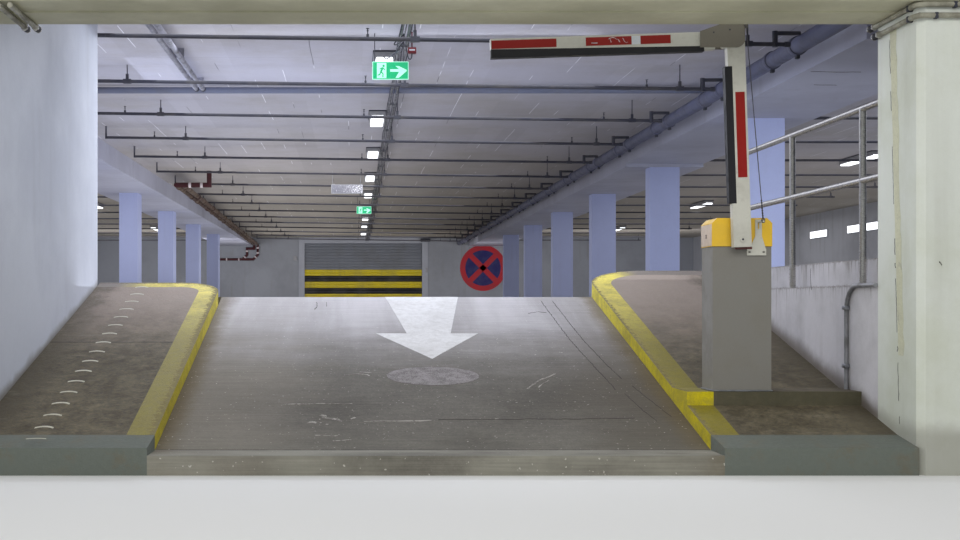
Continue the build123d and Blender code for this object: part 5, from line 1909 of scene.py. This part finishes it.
    def cabinet_details(self) -> None:
        """Fit the base plate, the door's seam at the back, its lock and the stop pad."""
        base = block(
            (self.cabinet_left - 0.006, self.cabinet_front - 0.006, self.cabinet_foot),
            (self.cabinet_right + 0.006, self.cabinet_back + 0.006, self.cabinet_foot + 0.009), bevel=0.002,
        )
        complete("cabinet_base_plate", [base], Paint.GALVANISED)
        door = block(
            (self.cabinet_left + 0.03, self.cabinet_back - 0.001, self.cabinet_foot + 0.06),
            (self.cabinet_right - 0.03, self.cabinet_back + 0.0025, self.hood_foot - 0.05), bevel=0.0012,
        )
        complete("cabinet_back_door", [door], Paint.CABINET)
        lock = rod((1.285, self.cabinet_back, 1.0), (1.285, self.cabinet_back + 0.007, 1.0), 0.011, sides=18)
        complete("cabinet_lock", [lock], Paint.STAINLESS)
        pad = block((1.146, -18.382, 1.178), (1.241, self.cabinet_front + 0.001, 1.1955), bevel=0.003)
        complete("arm_stop_pad", [pad], Paint.MAROON_PAD)

    def wire_details(self) -> None:
        """Twist the wire's dark tail above the anchor and shackle it."""
        foot, plane = Vector((1.277, -18.4645, 1.3315)), -18.4645
        top = Vector((1.1814, plane, 2.4243))
        way = (top - foot).normalized()
        side = Vector((way.z, 0.0, -way.x))
        strands = []
        for turn in (0.0, math.pi):
            points = []
            for index in range(self.tail_points):
                share = index / (self.tail_points - 1)
                angle = turn + share * math.tau * self.tail_turns
                centre = foot + way * (self.tail[0] + self.tail[1] * share)
                swing = side * (0.0034 * math.cos(angle)) + Vector((0.0, 0.0022 * math.sin(angle), 0.0))
                points.append(tuple(centre + swing))
            strands.append(cable(points, 0.0018))
        loop = ring(tuple(foot + way * 0.008), (0.0, 1.0, 0.0), 0.0095, 0.0022)
        complete("wire_shackle", strands + [loop], Paint.DARK_FITTING_AND_SHADOW, "tie_wire")


@dataclass
class WallGear:
    """Clamps on the conduits and the small gear on the rear wall, with the painted round sign."""

    clamp_heights: Flat = (0.848, 0.5115)
    rear: float = 18.885
    sign_x: float = 3.391
    sign_z: float = 2.105
    sign_radius: float = 0.789
    sign_band: float = 0.18
    box_face: float = 10.58
    box_places: tuple[Flat, ...] = ((6.175, 1.2), (3.075, 1.8))

    def build(self) -> None:
        """Fit the clamps and dress the rear wall."""
        self.conduit_clamps()
        self.wall_lights()
        self.rear_gear()
        self.round_sign()

    def conduit_clamps(self) -> None:
        """Clamp the conduit on the low wall."""
        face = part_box("right_low_wall")[0][0]
        clamps = [
            block((face - 0.03, -18.204, height - 0.012), (face + 0.001, -18.152, height + 0.012), 0.005, 3)
            for height in self.clamp_heights
        ]
        complete("conduit_clamps", clamps, Paint.GALVANISED)

    def wall_lights(self) -> None:
        """Light the faces of the boxes on the right wall, and crumple the panel that hangs over the aisle."""
        face = self.box_face
        faces = [
            block((face - 0.004, start + 0.02, 2.535), (face + 0.001, start + length - 0.02, 2.695), bevel=0.002)
            for start, length in self.box_places
        ]
        complete("wall_box_faces", faces, Paint.LAMP_COVER)
        panel = block((-1.397, -3.519, 2.766), (-0.875, -3.514, 2.902), bevel=0.002)
        complete("crumpled_panel_with_painted_glints", [panel], Paint.GLITTER)

    def rear_gear(self) -> None:
        """Fix the junction box, the camera-like box and the switch to the rear wall."""
        box = block((-3.11, self.rear - 0.05, 2.36), (-2.99, self.rear + 0.001, 2.52), bevel=0.006)
        switch = block((1.42, self.rear - 0.045, 1.95), (1.49, self.rear - 0.029, 2.12), bevel=0.006)
        complete("rear_wall_boxes", [box, switch], Paint.LAMP_BODY)
        arm = rod((1.36, self.rear, 3.08), (1.36, self.rear - 0.1, 3.06), 0.012)
        head = block((1.24, self.rear - 0.2, 3.0), (1.58, self.rear - 0.09, 3.1), bevel=0.02, segments=3)
        complete("door_sensor", [arm, head], Paint.DARK_FITTING_AND_SHADOW)

    def round_sign(self) -> None:
        """Paint the round sign that forbids stopping: a blue field, a red ring and a red cross."""
        outer, band = self.sign_radius, self.sign_band
        thin = 0.002
        place = facing_front(self.sign_x, self.rear - thin / 2, self.sign_z)
        field = sheet(oval(2 * outer, 2 * outer, 64), place, thin)
        complete("round_sign_field", [field], Paint.SIGN_BLUE)
        front = self.rear - 0.003
        hoop = ring((self.sign_x, front, self.sign_z), (0.0, 1.0, 0.0), outer - band / 2, band / 2, sides=64)
        for vertex in hoop.data.vertices:
            vertex.co.y = front + (vertex.co.y - front) * 0.02
        bars = []
        half, reach = band / 2, outer - band * 0.8
        for turn in (math.pi / 4, -math.pi / 4):
            lifted = facing_front(self.sign_x, front, self.sign_z) @ Matrix.Rotation(turn, 4, "Z")
            bars.append(sheet(rectangle(-reach, -half, reach, half), lifted, thin))
        complete("round_sign_ring", [hoop, *bars], Paint.SIGN_RED)


@dataclass
class PortalGear:
    """Glands and clamps of the portal's conduits, and dark lines along their tops that are painted shadow, the upper
    one on the joint under the soffit.
    """

    face: float = PIER_FACE
    soffit: float = 2.4
    runs: tuple[Flat, ...] = ((2.386, -18.545), (2.331, -18.605))
    stub_x: Flat = (-2.81, -2.75)
    radius: float = 0.014

    def build(self) -> None:
        """Fit the glands and the clamps, and lay the painted shadow lines over the conduits."""
        glands, nuts, clamps = [], [], []
        ends = [(self.face - self.radius, end, height) for height, end in self.runs]
        ends += [(x, self.runs[0][1], self.runs[0][0]) for x in self.stub_x]
        for x, end, height in ends:
            glands.append(rod((x, end - 0.05, height), (x, end + 0.012, height), 0.019, sides=16))
            for place in (end - 0.056, end + 0.004):
                ends = (x, place, height), (x, place + 0.012, height)
                nuts.append(rod(*ends, 0.0215, sides=6, bevel=0.0015))
        for (height, _), x in zip(self.runs, (2.035, 1.939)):
            low = (x - 0.009, FRONT - 2 * self.radius, height - self.radius - 0.004)
            clamps.append(block(low, (x + 0.009, FRONT, height + self.radius), bevel=0.003))
            low = (self.face - 2 * self.radius - 0.002, FRONT + 0.07, height - self.radius - 0.004)
            clamps.append(block(low, (self.face, FRONT + 0.088, height + self.radius), bevel=0.003))
        complete("portal_glands", glands, Paint.RUBBER)
        complete("portal_gland_nuts", nuts, Paint.STAINLESS)
        complete("portal_clamps", clamps, Paint.DARK_FITTING_AND_SHADOW)
        # Painted shadow: thin dark strips just over each conduit, the upper one also on the soffit's joint.
        thin, seams = 0.002, []
        run = self.runs[1][0]
        for low, high in ((self.soffit - 0.006, self.soffit + 0.003), (run + 0.012, run + 0.017)):
            corner = (self.face - thin, FRONT - thin, low)
            seams.append(block(corner, (2.36, FRONT, high), bevel=0.0006))
            seams.append(block(corner, (self.face, -18.605, high), bevel=0.0006))
        complete("portal_shadow_lines", seams, Paint.JOINT_AND_SHADOW)


@dataclass
class FireMainGear:
    """Pale rings and dark couplings on the fire main."""

    radius: float = 0.042
    near: float = -3.425
    rear: float = 18.8427
    high: float = 2.91
    low: float = 2.4
    runs: tuple[Flat, ...] = ((-4.06, -4.455), (-3.94, -4.335))

    def build(self) -> None:
        """Fit the rings on the ends and the couplings on the slanted runs."""
        def band(place: Point, way: Point, length: float, proud: float) -> Piece:
            """Put a band around the main.

            Args:
                place: its middle.
                way: the way that the band's middle line runs.
                length: the band's length.
                proud: how far it stands out of the pipe.

            Returns:
                The band.
            """
            half = Vector(way).normalized() * length / 2
            ends = tuple(Vector(place) - half), tuple(Vector(place) + half)
            return rod(*ends, self.radius + proud, sides=20, bevel=0.003)

        across, upright, slant = (1.0, 0.0, 0.0), (0.0, 0.0, 1.0), (0.707, 0.0, 0.707)
        rings = [band((x, self.near, self.high), across, 0.045, 0.006) for x in (-3.63, -3.83)]
        rings += [band((-4.335, self.rear, height), upright, 0.05, 0.006) for height in (2.79, 2.62)]
        rings += [band((-4.7, self.rear, height), upright, 0.05, 0.006) for height in (2.68,)]
        rings += [band((x, self.rear, 2.475), slant, 0.04, 0.006) for x in (-4.41, -4.775)]
        rings += [band((x, self.rear, self.low), across, 0.045, 0.006) for x in (-4.98, -5.4, -5.72)]
        complete("fire_main_rings", rings, Paint.COLLAR)
        couplings = []
        for near_x, far_x in self.runs:
            way = Vector((far_x - near_x, self.rear - self.near, 0.0))
            for step in range(14):
                share = (step + 0.25 + 0.3 * (step % 2)) / 14.3
                place = Vector((near_x, self.near, self.high)) + way * share
                couplings.append(band(tuple(place), tuple(way), 0.12, 0.012))
        complete("fire_main_couplings", couplings, Paint.FIRE_PIPE)


@dataclass
class Wear:
    """Cracks, scratches and rubbed lines: thin ragged strips that lie on what carries them."""

    wall_face: float = PIER_FACE
    lift: float = 0.0008
    pier_crack: tuple[Point, ...] = (
        (0.24, 0.3, 0.004), (0.36, 0.58, 0.003), (0.62, 0.66, 0.006), (0.72, 1.02, 0.0025), (1.06, 1.1, 0.006),
        (1.13, 1.24, 0.004), (1.4, 1.72, 0.002), (1.9, 2.02, 0.0025), (2.1, 2.3, 0.003),
    )

    def build(self) -> None:
        """Lay the cracks and the scratches."""
        self.ramp_cracks()
        self.ramp_scratches()
        self.filled_joint()
        self.wall_cracks()

    def strips_on_ramp(self, name: str, routes: list[tuple[float, Outline]], finish: Paint, seed: int) -> None:
        """Lay ragged strips on the ramp as one piece.

        Args:
            name: the piece's name.
            routes: each strip's width and the places across and along the building that it follows.
            finish: its finish.
            seed: what their raggedness starts from.
        """
        place = on_ramp(0.0, RAMP_FOOT, self.lift)
        strips = [
            ribbon([(x, up_slope(y)) for x, y in route], place, width, seed + index)
            for index, (width, route) in enumerate(routes)
        ]
        complete(name, strips, finish)

    def ramp_cracks(self) -> None:
        """Crack the ramp along its right side."""
        long_crack = [(0.453, -15.557), (0.47, -16.1), (0.494, -16.722), (0.54, -17.3), (0.585, -17.849)]
        beside = [(x + 0.09, y) for x, y in long_crack]
        routes = [
            (0.004, long_crack), (0.0036, beside[:4] + [(0.668, -17.62)]),
            (0.004, [(0.301, -15.95), (0.38, -15.9), (0.46, -15.937)]),
            (0.006, [(-0.53, -18.375), (-0.1, -18.37), (0.3, -18.365), (0.62, -18.35)]),
            (0.003, [(0.62, -17.9), (0.66, -18.2), (0.7, -18.42)]),
            (0.003, [(0.7, -17.75), (0.74, -18.0), (0.8, -18.34)]),
            (0.004, [(-1.3, -15.6), (-1.29, -15.72), (-1.31, -15.86)]), (0.003, [(-1.22, -15.6), (-1.22, -15.75)]),
        ]
        self.strips_on_ramp("ramp_cracks", routes, Paint.CRACK, 11)

    def ramp_scratches(self) -> None:
        """Scratch and rub the ramp pale."""
        routes = [
            (0.012, [(-0.95, -18.4), (-0.7, -18.395), (-0.5, -18.39)]),
            (0.008, [(-1.42, -18.1), (-1.2, -18.095), (-0.97, -18.098)]),
            (0.01, [(0.05, -17.81), (0.16, -17.62), (0.31, -17.456)]), (0.006, [(0.12, -17.78), (0.22, -17.6)]),
            (0.022, [(-1.2, -18.3), (-1.15, -18.36), (-1.03, -18.42)]), (0.016, [(-1.26, -18.42), (-1.2, -18.45)]),
            (0.014, [(-1.02, -18.37), (-0.98, -18.33)]), (0.014, [(-1.22, -18.64), (-1.03, -18.66)]),
            (0.01, [(-1.12, -18.72), (-0.97, -18.7)]), (0.01, [(-1.07, -17.52), (-0.95, -17.5), (-0.88, -17.56)]),
            (0.008, [(-0.97, -17.45), (-0.86, -17.48)]),
        ]
        self.strips_on_ramp("ramp_scratches", routes, Paint.PALE_SCRATCH, 31)

    @staticmethod
    def joint(height: float) -> float:
        """Place along the building of the leaning joint on the pier's inner face."""
        return -18.862 + 0.062 * (height - 0.65)

    def filled_joint(self) -> None:
        """Fill a strip beside the pier's joint with yellowed filler."""
        levels = [0.6 + 0.06 * index for index in range(30)]
        chance = random.Random(5)
        right = [(self.joint(level) - 0.008 - chance.uniform(0.0, 0.004), level) for level in levels]
        left = [(self.joint(level) - 0.07 - chance.uniform(0.0, 0.02), level) for level in reversed(levels)]
        strip = sheet(right + left, facing_lane(self.wall_face - self.lift), 0.001)
        complete("pier_filler", [strip], Paint.FILLER)

    def wall_cracks(self) -> None:
        """Crack the pier's inner face, the low wall's upstand and the band's underside."""
        side, front = facing_lane(self.wall_face - self.lift), facing_front(0.0, FRONT - self.lift, 0.0)
        strips = [
            *(
                ribbon([(self.joint(low), low), (self.joint(high), high)], side, width, 70 + index)
                for index, (low, high, width) in enumerate(self.pier_crack)
            ),
            ribbon([(-17.57, 0.958), (-17.55, 1.03), (-17.562, 1.115)], side, 0.004, 52),
            ribbon([(1.962, 1.085), (1.97, 1.07), (1.978, 1.066)], front, 0.004, 53),
        ]
        under = Matrix.Translation((0.0, 0.0, 2.9 - self.lift))
        for seed, route in enumerate(([(2.98, -14.36), (3.5, -14.33)], [(3.25, -13.68), (3.54, -13.65)])):
            strips.append(ribbon(route, under, 0.012, 60 + seed))
        complete("wall_cracks", strips, Paint.CRACK)


@dataclass
class Camera:
    """The camera at the photograph's place, level and square to the building."""

    place: Point = (-1.0, -25.715, 0.87)
    focal: float = 1300 / 960
    film: float = 36.0
    shift: Flat = (125 / 960, 34 / 960)
    reach: float = 200.0

    def build(self) -> Piece:
        """Set up the camera.

        Returns:
            The camera's object.
        """
        bpy.ops.object.camera_add(location=self.place, rotation=(math.pi / 2, 0.0, 0.0))
        camera = bpy.context.object
        camera.name = "photograph_view"
        camera.data.sensor_width = self.film
        camera.data.lens = self.focal * self.film
        camera.data.shift_x, camera.data.shift_y = self.shift
        camera.data.clip_end = self.reach
        bpy.context.scene.camera = camera
        return camera


@dataclass
class Studio:
    """The plain floor, the even sky and the soft lamps."""

    floor_size: float = 220.0
    floor_tone: Colour = (0.78, 0.78, 0.77)
    sky_tone: Colour = (0.93, 0.96, 1.0)
    sky_strength: float = 0.4
    hall_tone: Colour = (0.86, 0.9, 1.0)
    rear_tone: Colour = (0.93, 0.94, 1.0)

    def build(self) -> None:
        """Lay the floor, light the sky and hang the lamps."""
        self.lay_floor()
        self.light_sky()
        self.hang_lamps()
        bpy.context.scene.view_settings.view_transform = "Standard"

    def lay_floor(self) -> None:
        """Lay the plain pale floor under the building."""
        bpy.ops.mesh.primitive_plane_add(size=self.floor_size)
        floor = bpy.context.object
        floor.name = "studio_floor"
        material = bpy.data.materials.new("studio_floor")
        material.use_nodes = True
        shader = material.node_tree.nodes["Principled BSDF"]
        shader.inputs["Base Color"].default_value = (*self.floor_tone, 1.0)
        shader.inputs["Roughness"].default_value = 0.9
        floor.data.materials.append(material)

    def light_sky(self) -> None:
        """Give the world one even tone."""
        world = bpy.data.worlds.new("studio_sky")
        world.use_nodes = True
        sky = world.node_tree.nodes["Background"]
        sky.inputs["Color"].default_value = (*self.sky_tone, 1.0)
        sky.inputs["Strength"].default_value = self.sky_strength
        bpy.context.scene.world = world

    def lamp(
        self, name: str, place: Point, size: Flat, power: float, aim: Point, tone: Colour, shine: bool = False,
        spread: float = 180.0,
    ) -> None:
        """Hang one soft rectangular lamp that the camera doesn't see.

        Args:
            name: the lamp's name.
            place: its middle.
            size: its width along X and its length along Y.
            power: its power in watts.
            aim: the direction in which it shines.
            tone: its colour.
            shine: whether glossy pieces mirror it.
            spread: how wide its light fans out, in degrees.
        """
        turn = Vector(aim).to_track_quat("-Z", "Y").to_euler()
        bpy.ops.object.light_add(type="AREA", location=place, rotation=turn)
        lamp = bpy.context.object
        lamp.name = name
        lamp.data.shape = "RECTANGLE"
        lamp.data.size, lamp.data.size_y = size
        lamp.data.energy = power
        lamp.data.color = tone
        lamp.visible_camera = False
        lamp.visible_glossy = shine
        lamp.data.spread = math.radians(spread)

    def hang_lamps(self) -> None:
        """Light each aisle from above and from below, and the entrance from outside."""
        down, up = (0.0, 0.0, -1.0), (0.0, 0.0, 1.0)
        for name, middle, shift, width, below, above in (
            ("middle", -0.8, -1.8, 3.4, 80, 76), ("left", -8.2, 0.0, 4.0, 60, 50), ("right", 7.2, 0.0, 5.0, 60, 36),
        ):
            for index, along in enumerate((-14.0, -9.5, -4.5, 1.0, 7.0, 13.5)):
                power = below * (1.1, 1.0, 0.9, 0.8, 0.8, 0.9)[index]
                tone = self.rear_tone if index > 1 else self.hall_tone
                self.lamp(f"{name}_down_{index}", (middle, along, 3.02), (width + 0.8, 4.6), power, down, tone, True)
                power = above * (0.2 if name == "right" else 0.6, 0.88, 1.0, 1.0, 0.85, 0.8)[index]
                self.lamp(f"{name}_up_{index}", (middle + shift, along, 1.0), (width, 4.6), power, up, tone)
        self.lamp("columns", (0.8, -15.2, 1.8), (9.0, 1.6), 50, (0.0, 1.0, -0.1), self.hall_tone, spread=110.0)
        self.lamp("rear", (-0.8, 15.5, 1.9), (9.0, 1.2), 60, (0.0, 1.0, 0.0), (1.0, 0.98, 0.98))
        for name, middle in (("rear_left", -7.6), ("rear_right", 7.0)):
            self.lamp(name, (middle, 13.5, 1.9), (5.5, 1.2), 90, (0.0, 1.0, 0.0), self.rear_tone)
        self.lamp("band_side", (-3.0, -13.0, 2.0), (1.4, 4.0), 36, (1.0, 0.0, 0.12), (0.7, 0.78, 1.0), spread=80.0)
        self.lamp("pier_side", (-1.9, -19.3, 1.4), (1.6, 1.6), 6.5, (1.0, 0.12, 0.0), (1.0, 1.0, 0.97), spread=80.0)
        self.lamp("crest", (-0.7, -14.4, 3.0), (3.6, 1.0), 92, (0.0, -0.5, -1.0), self.hall_tone)
        self.lamp("near_left", (-4.1, -14.6, 1.3), (2.0, 2.0), 16, up, (0.7, 0.78, 1.0))
        self.lamp("portal_down", (-0.5, -18.0, 2.62), (4.0, 1.2), 20, down, self.hall_tone)
        self.lamp("outside", (-1.0, -27.0, 6.0), (12.0, 4.0), 560, (0.0, 0.75, -0.5), (1.0, 0.98, 0.93))


def main() -> None:
    """Load the model, dress it, add its fittings and light it."""
    logging.basicConfig(level=logging.INFO, format="%(name)s: %(message)s")
    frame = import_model()
    dress_nodes(frame["nodes"])
    for assembly in (
        RampMarkings(), LightGear(), SprinklerGear(), CeilingSmallGear(), FireMainGear(), BarrierDress(), WallGear(),
        PortalGear(), Wear(),
        HungSign("near_exit_sign", -0.854, -14.775, 2.758), HungSign("far_exit_sign", -0.964, 1.485, 2.758),
    ):
        assembly.build()
    Studio().build()
    Camera().build()


if __name__ == "__main__":
    main()
